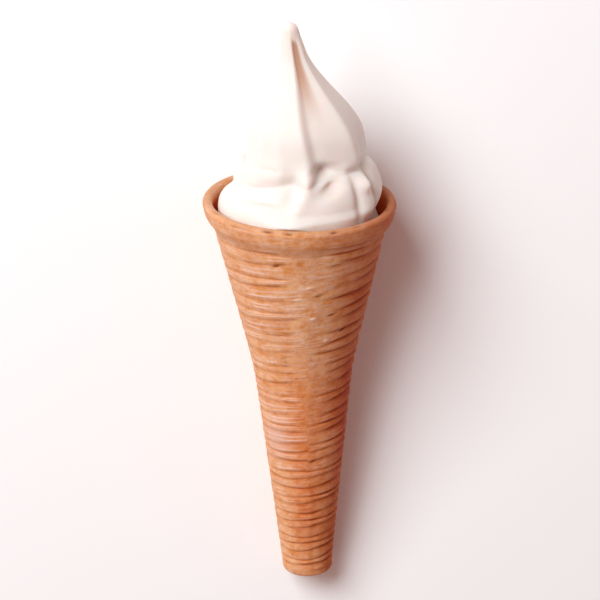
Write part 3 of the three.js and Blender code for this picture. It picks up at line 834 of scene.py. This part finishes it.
# %% Radius of the coil and the upper turn
COIL_RADIUS = 26.9
COIL_CORE_RADIUS = 19.0
COIL_LEVEL = 1.0
COIL_START_TURN = -120.0
COIL_START_TOP = 5.5
COIL_RISE = 9.5
COIL_CLIMB = 210.0
COIL_SINK = 270.0
COIL_FULLNESS = 0.8
UPPER_RADIUS = 22.5
UPPER_CORE_RADIUS = 16.0
UPPER_LEVEL = 8.0
UPPER_TOP = 16.0
UPPER_GAP_TURN = -15.0
UPPER_GAP_HALF = 62.0
SPILLS = ((-8.0, 16.0, 3.4), (30.0, 26.0, 1.2))  # turn, half width, and how far it stands out
SPILL_HEIGHTS = (2.0, 5.0)


def coil_top(turn):
    """Up by a quarter wave from the coil's start, and back down where it sinks away behind."""
    past = (turn - COIL_START_TURN) % FULL_TURN
    climbed = np.sin(np.pi / 2 * np.minimum(1.0, past / COIL_CLIMB))
    sunk = smooth_step(past, COIL_SINK, FULL_TURN)
    return COIL_START_TOP + COIL_RISE * (climbed - sunk)


def shoulder_radius(height, level, top, core, full, present=1.0):
    """Full up to its level, then in to the core at its top as an ellipse's edge, and falling on
    from there. Present is less than 1 where the turn has a gap."""
    share = np.maximum(0.0, (height - level) / (top - level))
    inside = np.maximum(0.0, 1.0 - share * share) ** COIL_FULLNESS
    return core + (full - core) * (present * inside - 2.0 * np.maximum(0.0, share - 1.0))


def coil_radius(turn, height):
    """The coil's rounded shoulder, under a top that climbs round the cone."""
    return shoulder_radius(height, COIL_LEVEL, coil_top(turn), COIL_CORE_RADIUS, COIL_RADIUS)


def upper_radius(turn, height):
    """The upper turn's shoulder, which is missing where the peak's front fold hangs."""
    present = 1.0 - bell(turn_between(UPPER_GAP_TURN, turn), UPPER_GAP_HALF)
    ends = UPPER_CORE_RADIUS, UPPER_RADIUS
    return shoulder_radius(height, UPPER_LEVEL, UPPER_TOP, *ends, present)


def spill_relief(turn, height):
    """Cream pressed out over the rim: a bell round the cone, full up to just above the rim."""
    full = 1.0 - smooth_step(height, *SPILL_HEIGHTS)
    return sum(out * full * bell(turn_between(spill, turn), half) for spill, half, out in SPILLS)


coil_tops = coil_top(np.arange(FULL_TURN))
print("top of the coil:", coil_tops.min().round(1), "to", coil_tops.max().round(1), "mm")

# %% [markdown]
# ## Soft serve: the peak
#
# The peak is drawn up from the coil and thins out to a small round tip. It bows, because the cone
# was moved while it was drawn. Its lower edge overhangs the coil, and hangs lowest at the front.
# It could be sculpted, but a profile with named sizes can be set against the solid model's.

# %% Radius of the plain peak
PEAK_FOOT_HEIGHT = 16.0
TIP_RADIUS = 2.3
TIP_LENGTH = 2.2
PEAK_TAPER = 0.195
PEAK_SHOULDER = 9.4
SHOULDER_SPAN = (0.22, 0.82)
PEAK_EDGE_WANDER = 0.9
PEAK_EDGE_TURN = 60.0
NOSE_TURN = 1.0
NOSE_DROP = 5.0
NOSE_HALF = 10.0
SWAY = 2.6
SWAY_LENGTH = 45.0


def plain_peak_radius(height):
    """A rounded end, as a quarter of an ellipse, then a straight taper and a shoulder."""
    below = TIP_HEIGHT - height
    end = np.sqrt(1.0 - np.maximum(0.0, 1.0 - below / TIP_LENGTH) ** 2)
    depth = below / (TIP_HEIGHT - PEAK_FOOT_HEIGHT)
    shoulder = PEAK_SHOULDER * smooth_step(depth, *SHOULDER_SPAN)
    return TIP_RADIUS * end + PEAK_TAPER * below + shoulder


def peak_edge(turn):
    """Height of the peak's lower edge, which wanders and hangs lowest at the front."""
    wander = PEAK_EDGE_WANDER * np.sin(np.radians(2.0 * turn + PEAK_EDGE_TURN))
    drop = NOSE_DROP * bell(turn_between(NOSE_TURN, turn), NOSE_HALF)
    return PEAK_FOOT_HEIGHT - PEAK_EDGE_WANDER + wander - drop


def cream_sway(height):
    """The middle of the peak bows to the right as one long wave, and its tip leans left."""
    return SWAY * np.sin(np.pi * np.maximum(0.0, height) / SWAY_LENGTH)


print("peak across at its foot:", round(2 * float(plain_peak_radius(PEAK_FOOT_HEIGHT)), 1), "mm")

# %% [markdown]
# ## Folds of the star nozzle
#
# The nozzle's star gives the peak its folds. A sum of waves would make them all alike. Here the
# section is a star whose corners are joined by straight lines, so the folds are flat faces with
# soft edges, each of its own width, and each corner turns a little on its way to the tip.

# %% Corners of the star
CORNERS = (
    # turn, and reach as a share of the plain radius, each at the peak's foot and at its tip
    ((4, 0), (1, 1.02)),  # right edge of the left fold
    ((11, 9), (0.895, 0.8)),  # floor of the valley at the front
    ((26, 22), (0.9, 0.81)),
    ((55, 53), (1.06, 1.05)),  # sharp ridge of the right fold
    ((72, 78), (0.93, 0.96)),  # hollow right side
    ((100, 104), (1, 1)),
    ((124, 128), (0.85, 0.87)),  # three valleys behind
    ((150, 152), (1, 1)),
    ((178, 178), (0.86, 0.87)),
    ((205, 204), (1, 1)),
    ((232, 230), (0.85, 0.87)),
    ((258, 258), (1, 1)),
    ((285, 285), (0.99, 1)),  # broad left fold
    ((310, 314), (0.985, 0.96)),
    ((335, 337), (1.01, 1)),
)
FOLD_BOW = -9.0  # halfway up the peak the whole star is turned this much
CORNER_ROUNDING = (-4, -2, 0, 2, 4)  # degrees over which a corner is averaged
CORNER_WEIGHTS = (1, 2, 3, 2, 1)
TIP_CAP = 2.5
TIP_SMOOTH = 7.5

print("corners of the star:", len(CORNERS))

# %% [markdown]
# ## Section of the peak
#
# A straight line has a short formula in polar form, so the outline needs no search from corner to
# corner. Averaging it over a few degrees rounds the corners, and just below the tip it ends.

# %% Outline of the star


def star_reach(turn, up):
    """Reach of the star's outline: from one corner to the next along the straight line that joins
    them, which in polar form is r1 r2 sin(a + b) / (r1 sin a + r2 sin b) with a and b the angles
    from either corner."""
    bow = FOLD_BOW * np.sin(np.pi * up)
    turns = [between(ends, up) + bow for ends, _ in CORNERS]
    reaches = [between(ends, up) for _, ends in CORNERS]
    reach = 1.0
    for index, start in enumerate(turns):
        after = (index + 1) % len(CORNERS)
        past = turn_between(start, turn)
        left = turn_between(turn, turns[after])
        ends = reaches[index], reaches[after]
        across = ends[0] * np.sin(np.radians(past)) + ends[1] * np.sin(np.radians(left))
        here = (past >= 0.0) & (left > 0.0)
        chord = ends[0] * ends[1] * np.sin(np.radians(past + left)) / np.where(here, across, 1.0)
        reach = np.where(here, chord, reach)
    return reach


def fold_factor(turn, height):
    """The star with its corners rounded by averaging, and with no folds at the very tip."""
    up = np.clip((height - PEAK_FOOT_HEIGHT) / (TIP_HEIGHT - PEAK_FOOT_HEIGHT), 0.0, 1.0)
    reaches = [star_reach(turn + aside, up) for aside in CORNER_ROUNDING]
    rounded = np.average(reaches, axis=0, weights=CORNER_WEIGHTS)
    return between((1.0, rounded), smooth_step(TIP_HEIGHT - height, TIP_CAP, TIP_SMOOTH))


fold_range = fold_factor(np.arange(FULL_TURN), PEAK_FOOT_HEIGHT)
print("folds reach", fold_range.min().round(2), "to", fold_range.max().round(2), "of the radius")

# %% [markdown]
# ## Dents and bumps
#
# What is left are single forms, in a list: the nose of the left fold, the pockets where the peak
# was pulled off the coil, upright folds at the right, and creases. Sculpted, they would be lost
# when the shape changes, and in a list each can be moved by itself.

# %% Marks on the cream
MARKS = (
    # turn, height, half width, half height, climb per degree, and how far it stands out
    (0, 13.2, 8, 4, 0, 2.4),  # nose of the left fold
    (16, 16.8, 10, 1.9, 0, -2.6),  # pocket over the coil
    (23, 11.7, 9, 1.6, 0.1, -2.8),  # pocket under it
    (42, 16, 9, 2.2, 0, 1.3),  # the right fold runs down into the coil
    (-13, 9.6, 6, 3.6, 0, -1.2),  # hollow by the nose
    (-34, 14, 18, 3, 0.03, 0.9),  # the left fold runs down into the coil
    (-40, 16.8, 14, 0.8, 0.02, -0.3),  # creases there and in the coil
    (-48, 10.2, 16, 0.9, 0.02, -0.6),
    (-34, 6.4, 18, 0.9, 0.02, -0.9),
    (44, 6.5, 3.6, 6, 0, -1.5),  # upright fold at the right
    (-6, 6.5, 7, 3.2, 0, 0.8),  # swelling at the front
    (54, 11.2, 5.5, 2.6, 0, 2.4),  # small nub at the right
    (55, 4, 7, 3.5, 0, 1),  # bulge below it
    (65, 9, 4, 6, 0, -1.9),  # upright fold beside them
    (84, 14, 14, 2.6, 0, 1),  # end of the upper turn
    (92, -2, 34, 4.5, 0, -2.3),  # the coil stands off from the lip at the right
    (118, 8, 20, 1.1, -0.04, -0.9),  # creases behind
    (178, 9, 24, 1.2, 0.05, -1),
    (-105, 17.3, 18, 2.4, 0, 2),  # two lobes of the upper turn at the left
    (-106, 9, 16, 3.5, 0, 2.3),
    (-84, 14, 5, 6, 0, -1.2),  # edge of the left fold before them
)


def mark_relief(turn, height):
    """All of them added up, each a bell round the cream times a bell up it."""
    return sum(out * across * up for out, across, up in mark_bells(MARKS, turn, height))


print("marks on the cream:", len(MARKS))

# %% [markdown]
# ## The whole cream
#
# Where two of the three radii are equal the cream gets a crease. It is softened, most on the
# left, where peak and coil have melted together. Joining solids with a Boolean and rounding the
# edge would be harder to steer. The cone leaves the room for it all, with a small gap.

# %% Radius of the cream
CREAM_GAP = 0.3
PEAK_EDGE = 4.5
PEAK_UNDERCUT = 0.09
MERGE_SOFTNESS = 1.1
MELTED_TURN = -65.0  # here the peak runs down into the coil without an edge
MELTED_HALF = 50.0
MELTED_SOFTNESS = 1.6


def melted_share(turn):
    """How much the peak's edge has melted into the coil: a bell, widest on the left."""
    return bell(turn_between(MELTED_TURN, turn), MELTED_HALF)


def peak_radius(turn, height):
    """The plain peak with its folds, drawn in below its lower edge where that hasn't melted."""
    below = np.maximum(0.0, 1.0 - (height - peak_edge(turn)) / PEAK_EDGE)
    undercut = PEAK_UNDERCUT * (1.0 - melted_share(turn)) * below * below
    return plain_peak_radius(height) * fold_factor(turn, height) * (1.0 - undercut)


def soft_larger(one, other, softness):
    """The larger of two values, with a round corner where they are equal."""
    return (one + other + np.sqrt((one - other) ** 2 + softness**2)) / 2.0


def room_radius(turn, height):
    """What the cone leaves free: its inside, and above that the inner half of its round crown."""
    wall = inner_radius(CREAM_LEVEL + height, turn) - CREAM_GAP
    above = CREAM_LEVEL + height - crown_base - rim_slant(turn)
    reach = WALL / 2 + CREAM_GAP
    over = reach - np.sqrt(np.clip(reach**2 - np.maximum(above, 0.0) ** 2, 0.0, None))
    return np.where(above < reach, wall + over, np.inf)


def cream_radius(turn, height):
    """The largest of coil, upper turn and peak, with the marks added, within the cone's room."""
    softness = MERGE_SOFTNESS + MELTED_SOFTNESS * melted_share(turn)
    softness = softness * np.clip((TIP_HEIGHT - height) / TIP_SMOOTH, 0.0, 1.0)
    coil = soft_larger(coil_radius(turn, height), upper_radius(turn, height), softness)
    radius = soft_larger(coil, peak_radius(turn, height), softness)
    relief = mark_relief(turn, height) + spill_relief(turn, height)
    return np.minimum(radius + relief, room_radius(turn, height))


at_rim = cream_radius(np.arange(FULL_TURN), 0.0)
print("cream across at the rim:", (2.0 * at_rim.mean()).round(1), "mm")

# %% [markdown]
# ## Rows of the cream
#
# A few hidden rows go down inside the cone to its floor. On the free ones a faint ripple keeps
# the cream from looking moulded. How deep a point lies in a fold or a dent goes along for the
# material, which paints shade there. It could be found by rays from each point, but the formulas
# of folds and dents already have it.

# %% Rows, ripple and depth of creases
LOWEST_FREE = -7.5
HIDDEN_ROWS = 6
RIPPLE_HEIGHT = 0.05
RIPPLES = ((1.0, 5.0), (0.5, 2.1))  # share of it, and from one random number to the next
SHOWN_ABOVE = 0.5  # ripple and the painted shade of dents are left out below this height
CREAM_MARK_TINT = 0.08  # share of the tan painted shade for each millimetre of a dent
CREASE_SPAN = (0.07, 0.17)  # depth of a fold, as a share of the radius, over which it gets painted shade
CREASE_HEIGHTS = (28.0, 47.0)  # and heights over which that grows


def free_rows(turn, height):
    """The cream's own surface from inside the lip to the tip, with a ripple that ends there."""
    radius = cream_radius(turn, height)
    rows = place(radius, turn, CREAM_LEVEL + height, cream_sway(height))
    ripple = RIPPLE_HEIGHT * sum(share * noise(rows, cell) for share, cell in RIPPLES)
    ripple = ripple * np.clip((TIP_HEIGHT - height) / TIP_SMOOTH, 0.0, 1.0)
    radius = radius + ripple * (height > SHOWN_ABOVE)
    return place(radius, turn, CREAM_LEVEL + height, cream_sway(height))


def hidden_rows(turn):
    """Along the inside of the cone, from its floor up to where the free rows begin."""
    ends = FOOT_FLOOR + CREAM_GAP, CREAM_LEVEL + LOWEST_FREE
    depths = np.linspace(*ends, HIDDEN_ROWS, endpoint=False)[:, None]
    return place(inner_radius(depths, turn) - CREAM_GAP, turn, depths)


def painted_crease_shade(turn, height):
    """Painted shade in creases, the larger of two: how deep in a fold of the upper peak,
    and how deep in a dent.
    """
    fold = smooth_step(1.0 - fold_factor(turn, height), *CREASE_SPAN)
    fold = fold * smooth_step(height, *CREASE_HEIGHTS)
    dent = np.clip(-CREAM_MARK_TINT * mark_relief(turn, height), 0.0, 1.0)
    return np.maximum(fold, dent * (height > SHOWN_ABOVE))


print("free rows begin", round(CREAM_LEVEL + LOWEST_FREE, 1), "mm above the foot")

# %% [markdown]
# ## The cream as a mesh
#
# Even rows and columns would spend most points where little happens. Here rows crowd towards the
# tip, where the curve is tightest, and columns at the front, which shows the folds.

# %% The cream
CREAM_COLUMNS = 340
CREAM_CROWDING = 22.0
CREAM_ROWS = 250
TIP_ROW_CROWDING = 0.12

even = np.linspace(0.0, FULL_TURN, CREAM_COLUMNS, endpoint=False)
cream_turn = even - CREAM_CROWDING * np.sin(np.radians(even))
share = np.linspace(1.0, 0.0, CREAM_ROWS, endpoint=False)[:, None]
share = share**2 * (1.0 + TIP_ROW_CROWDING) / (share + TIP_ROW_CROWDING)
cream_height = between((TIP_HEIGHT, LOWEST_FREE), share)
hidden = hidden_rows(cream_turn)
crease_shade = np.vstack([np.zeros(hidden.shape[:2]), painted_crease_shade(cream_turn, cream_height)])
cream = closed_mesh(
    "soft_serve_swirl",
    [0.0, 0.0, FOOT_FLOOR + CREAM_GAP],
    np.concatenate([hidden, free_rows(cream_turn, cream_height)]),
    [float(cream_sway(TIP_HEIGHT)), 0.0, CREAM_LEVEL + TIP_HEIGHT],
    {"crease_shade": crease_shade},
)
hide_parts("soft_serve")
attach(cream, "root")

# %% [markdown]
# ## Finishes
#
# Colours are written as they look on a screen, and one function turns them to the linear values
# that light needs. One more adds a node, sets it and links it, and two begin and end a material.

# %% Helpers for every finish


def linear(hex_colour):
    """An sRGB hex colour as linear red, green, blue and an alpha of 1."""
    srgb = np.array([int(hex_colour[i : i + 2], 16) for i in (0, 2, 4)]) / 255.0
    values = np.where(srgb <= 0.04045, srgb / 12.92, ((srgb + 0.055) / 1.055) ** 2.4)
    return (*values.tolist(), 1.0)


def add_node(tree, kind, inputs=None, **settings):
    """Adds a node with its settings; an input is a value, or another node's output to link."""
    node = tree.nodes.new(kind)
    for name, value in settings.items():
        setattr(node, name, value)
    for name, value in (inputs or {}).items():
        if isinstance(value, bpy.types.NodeSocket):
            tree.links.new(value, node.inputs[name])
        else:
            node.inputs[name].default_value = value
    return node


def new_finish(name):
    """A material, and its tree with nothing in it yet."""
    material = bpy.data.materials.new(name)
    material.use_nodes = True
    material.node_tree.nodes.clear()
    return material, material.node_tree


def put_on(piece, material, skin):
    """Ends a material with its skin, and gives it to a piece."""
    tree = material.node_tree
    add_node(tree, "ShaderNodeOutputMaterial", {"Surface": skin.outputs["BSDF"]})
    piece.data.materials.append(material)
    print(material.name, "has", len(tree.nodes), "nodes")


# %% [markdown]
# ## Baked biscuit: bands that follow the ribs
#
# Wafer biscuit is a dry foam of sugar, flour and butter. Its grooves get painted shade and its
# fine lines a painted highlight. The surface's own numbers drive the colour, so it follows every
# rib exactly. A groove and a fine line are thinner than the rows are apart, so their bands are
# worked out in the material, from how far through its rib a point is.

# %% Numbers of the surface, and a band
GROOVE_BAND = 0.1  # half of the width of a groove's painted shade and of a fine line's painted highlight, as shares of the pitch
LINE_BAND = 0.075

biscuit, tree = new_finish("baked_wafer_biscuit")
where = add_node(tree, "ShaderNodeTexCoord").outputs["Object"]
deep, groove, fine_line_highlight, rib_end_highlight, crack_shade, crown, browned_and_shaded, toasted_and_shaded, floured, *roll_place = (
    add_node(tree, "ShaderNodeAttribute", attribute_name=label).outputs["Fac"]
    for label in cone_attributes
)
roll_along = {0: roll_place[2], 1: RIB_PITCH}
rib_number = add_node(tree, "ShaderNodeMath", roll_along, operation="DIVIDE").outputs[0]


def rib_band(phase, half, strength):
    """Strength times a band at one phase of every rib: 1 in its middle, 0 half its width away."""
    away = rib_number
    for operation, value in (("SUBTRACT", phase), ("PINGPONG", 0.5)):
        step = add_node(tree, "ShaderNodeMath", {0: away, 1: value}, operation=operation)
        away = step.outputs[0]
    limits = {"From Min": 0.0, "From Max": half, "To Min": strength, "To Max": 0.0}
    return add_node(tree, "ShaderNodeMapRange", {"Value": away, **limits}).outputs["Result"]


groove_shade_band = rib_band(0.0, GROOVE_BAND, groove)
line_highlight_bands = [rib_band(phase, LINE_BAND, fine_line_highlight) for phase in LINE_PHASES]
print("bands on each rib:", 1 + len(line_highlight_bands))

# %% [markdown]
# ## Baked biscuit: melted sugar, flour and crumb
#
# Between the ribs' lines the biscuit is mottled, orange where sugar melted and pinkish where
# flour dusted it, in streaks that follow the roll, with the specks of its crumb. One noise at a
# scale for each does this, and a range cuts its middle values out.

# %% Patterns of the biscuit
PATCH_SIZE = 3.85  # patches of melted sugar, in millimetres
STREAK_SIZE = 0.91  # height of the flour's streaks
GRAIN_SIZE = 1.11  # crumb, drawn about twice as coarse as it is, so that it shows

along_ribs = add_node(tree, "ShaderNodeCombineXYZ", dict(zip("XYZ", roll_place))).outputs[0]
patch, streak, crumb = (
    add_node(
        tree,
        "ShaderNodeTexNoise",
        {"Vector": vector, "Scale": scale, "Detail": 4.0, "Roughness": roughness},
    ).outputs["Fac"]
    for vector, scale, roughness in (
        (where, 1.0 / (PATCH_SIZE * MILLIMETRE), 0.65),
        (along_ribs, 1.0 / STREAK_SIZE, 0.65),
        (where, 1.0 / (GRAIN_SIZE * MILLIMETRE), 0.7),
    )
)
melted, dusted, speck, crown_top_shade = (
    add_node(
        tree,
        "ShaderNodeMapRange",
        {"Value": value, "From Min": low, "From Max": high, "To Max": most},
    ).outputs["Result"]
    for value, low, high, most in (
        (patch, 0.42, 0.66, 1.0),
        (streak, 0.46, 0.68, 0.8),
        (crumb, 0.52, 0.7, 0.5),
        (crown, 0.0, 1.0, 0.5),
    )
)
print("patterns of", PATCH_SIZE, STREAK_SIZE, "and", GRAIN_SIZE, "mm")

# %% [markdown]
# ## Baked biscuit: colour and skin
#
# The colours are laid over each other in the order in which they came about. The foam scatters
# light and has no glaze, so it has an ordinary index of refraction but little gloss.

# %% Biscuit finish
BISCUIT_COLOUR = "EFB483"
LAYERS = (
    (melted, "DE8F4C", "MIX"),
    (dusted, "F0C4AC", "MIX"),
    (speck, "CE8650", "MIX"),
    (floured, "EFC3AE", "MIX"),
    # painted shade in the grooves, darker the deeper they are
    (deep, "C86E2A", "MIX"),
    # painted shade along the bottom of each groove, darker towards the right
    (groove_shade_band, "A4501A", "MIX"),
    # orange of the front and lip, and painted shade on the right side's patch and the inside
    (toasted_and_shaded, "F2B478", "MULTIPLY"),
    # painted highlight on the fine lines
    *((band, "F6CFC0", "MIX") for band in line_highlight_bands),
    # painted highlight on raised rib ends
    (rib_end_highlight, "FFE6D8", "MIX"),
    # painted shade on the right side and the inside, uneven by noise
    (browned_and_shaded, "D69656", "MULTIPLY"),
    # painted shade on the top of the crown
    (crown_top_shade, "A87C60", "MIX"),
    # painted shade in cracks and slots
    (crack_shade, "6E2E14", "MIX"),
)

base = add_node(tree, "ShaderNodeRGB").outputs["Color"]
base.default_value = linear(BISCUIT_COLOUR)
for factor, colour, blend in LAYERS:
    base = add_node(
        tree,
        "ShaderNodeMix",
        {"Factor": factor, "A": base, "B": linear(colour)},
        data_type="RGBA",
        blend_type=blend,
    ).outputs["Result"]
bump = add_node(
    tree,
    "ShaderNodeBump",
    {"Height": crumb, "Strength": 0.6, "Distance": 0.0003},
).outputs["Normal"]
skin = add_node(
    tree,
    "ShaderNodeBsdfPrincipled",
    {"Base Color": base, "Normal": bump, "Roughness": 0.6, "IOR": 1.45, "Specular IOR Level": 0.2},
)
put_on(cone, biscuit, skin)

# %% [markdown]
# ## Frozen cream
#
# Soft serve is a foam of milk fat, ice and air. Light goes in a few millimetres and comes out
# warm, so its shadows are never grey. That could be left to a warm colour, but only scattering
# under the surface also softens them. Folds and dents get a tan painted shade.

# %% Cream finish
ICE_SIZE = 1.11  # grains of ice, drawn many times as coarse as they are, so that they show

cream_finish, tree = new_finish("drawn_soft_serve")
where = add_node(tree, "ShaderNodeTexCoord").outputs["Object"]
crease_shade = add_node(tree, "ShaderNodeAttribute", attribute_name="crease_shade").outputs["Fac"]
grain = add_node(
    tree,
    "ShaderNodeTexNoise",
    {"Vector": where, "Scale": 1.0 / (ICE_SIZE * MILLIMETRE), "Detail": 3.0, "Roughness": 0.6},
).outputs["Fac"]
# the cream's colour with tan painted shade in folds and dents
cream_with_crease_shade = add_node(
    tree,
    "ShaderNodeMix",
    {"Factor": crease_shade, "A": linear("EDE4DD"), "B": linear("CB9E84")},
    data_type="RGBA",
).outputs["Result"]
bump = add_node(
    tree,
    "ShaderNodeBump",
    {"Height": grain, "Strength": 0.15, "Distance": 0.0002},
).outputs["Normal"]
skin = add_node(
    tree,
    "ShaderNodeBsdfPrincipled",
    {
        "Base Color": cream_with_crease_shade,
        "Normal": bump,
        "Roughness": 0.5,
        "IOR": 1.35,
        "Subsurface Weight": 0.7,
        "Subsurface Radius": (0.004, 0.0022, 0.0016),
        "Subsurface Scale": 1.0,
    },
)
put_on(cream, cream_finish, skin)

# %% [markdown]
# ## Paper floor
#
# The pair lies on pale paper, so that its shadow shows where it rests. One big square is enough,
# as it belongs to the studio and not to the object.

# %% Floor
FLOOR_HALF = 1.5

floor_mesh = bpy.data.meshes.new("paper_floor")
corners = [(-1, -1, 0), (1, -1, 0), (1, 1, 0), (-1, 1, 0)]
floor_mesh.from_pydata(np.array(corners) * FLOOR_HALF, [], [(0, 1, 2, 3)])
floor = bpy.data.objects.new("paper_floor", floor_mesh)
scene.collection.objects.link(floor)
paper, tree = new_finish("matte_paper")
skin = add_node(
    tree, "ShaderNodeBsdfPrincipled", {"Base Color": linear("FFFFFF"), "Roughness": 0.9}
)
put_on(floor, paper, skin)

# %% [markdown]
# ## Light
#
# One large soft light stands high on the left beyond the tip, and a little warm light comes from
# all round. More lights would fill the grooves, which are what makes the biscuit look baked.

# %% Key light and surroundings
MIDDLE = Vector((0.0, 0.0, 0.03))
KEY_DIRECTION = (-0.455, 0.525, 0.72)
KEY_DISTANCE = 1.4
KEY_SIZE = 0.9
KEY_WATTS = 22.4
ROUND_LIGHT = 0.33

light = bpy.data.lights.new("key", "AREA")
light.size = KEY_SIZE
light.energy = KEY_WATTS
light.color = linear("F4FCFF")[:3]
lamp = bpy.data.objects.new("key", light)
lamp.location = MIDDLE + Vector(KEY_DIRECTION).normalized() * KEY_DISTANCE
lamp.rotation_euler = (MIDDLE - lamp.location).to_track_quat("-Z", "Y").to_euler()
scene.collection.objects.link(lamp)
world = bpy.data.worlds.new("studio")
scene.world = world
world.use_nodes = True
background = world.node_tree.nodes["Background"]
background.inputs["Color"].default_value = linear("FFD4CC")
background.inputs["Strength"].default_value = ROUND_LIGHT
scene.view_settings.view_transform = "Standard"
print("key light at", [round(value, 2) for value in lamp.location])

# %% [markdown]
# ## The camera
#
# It looks at the lying cone as one would look at it upright, from a little above the rim. It is
# placed in the cone's own frame first, because there its angle and its scale are plain numbers,
# and then laid down with it. It stands far off, so that the cone's sides stay as they are.

# %% Camera
VIEW_ELEVATION = 20.5  # degrees above the cone's side
VIEW_DISTANCE = 900.0
VIEW_ROLL = 1.155
PIXELS_PER_MM = 3.02
IMAGE_PIXELS = 600
RIM_PIXEL = (300.2, 201.5)  # where the middle of the rim shows
SENSOR = 36.0

elevation = np.radians(VIEW_ELEVATION)
roll = np.radians(VIEW_ROLL)
rim = np.array([0.0, 0.0, CREAM_LEVEL])
to_camera = np.array([0.0, -np.cos(elevation), np.sin(elevation)])
view_up = np.array([0.0, np.sin(elevation), np.cos(elevation)])
off_centre = (np.array([IMAGE_PIXELS / 2, IMAGE_PIXELS / 2]) - RIM_PIXEL) / PIXELS_PER_MM
view_right = np.array([1.0, 0.0, 0.0])
image_up = np.sin(roll) * view_right + np.cos(roll) * view_up
image_right = np.cos(roll) * view_right - np.sin(roll) * view_up
aim = rim + off_centre[0] * image_right - off_centre[1] * image_up
eye = rim + VIEW_DISTANCE * to_camera


def turned(direction):
    """A direction of the cone's own frame in the model's frame."""
    return Vector((direction[0], float(direction @ ALONG), float(direction @ UPWARDS)))


backwards = turned(eye - aim).normalized()
right = turned(image_up).cross(backwards).normalized()
camera = bpy.data.objects.new("camera", bpy.data.cameras.new("camera"))
eye_place = turned(eye) * MILLIMETRE + Vector((0.0, TIP_PLACE, -FLOOR_LEVEL)) * MILLIMETRE
axes = Matrix((right, backwards.cross(right), backwards)).transposed().to_4x4()
camera.matrix_world = Matrix.Translation(eye_place) @ axes
camera.data.sensor_width = SENSOR
camera.data.sensor_fit = "HORIZONTAL"
camera.data.lens = SENSOR * PIXELS_PER_MM * VIEW_DISTANCE / IMAGE_PIXELS
scene.collection.objects.link(camera)
scene.camera = camera
print("camera at", [round(value, 3) for value in camera.matrix_world.translation])
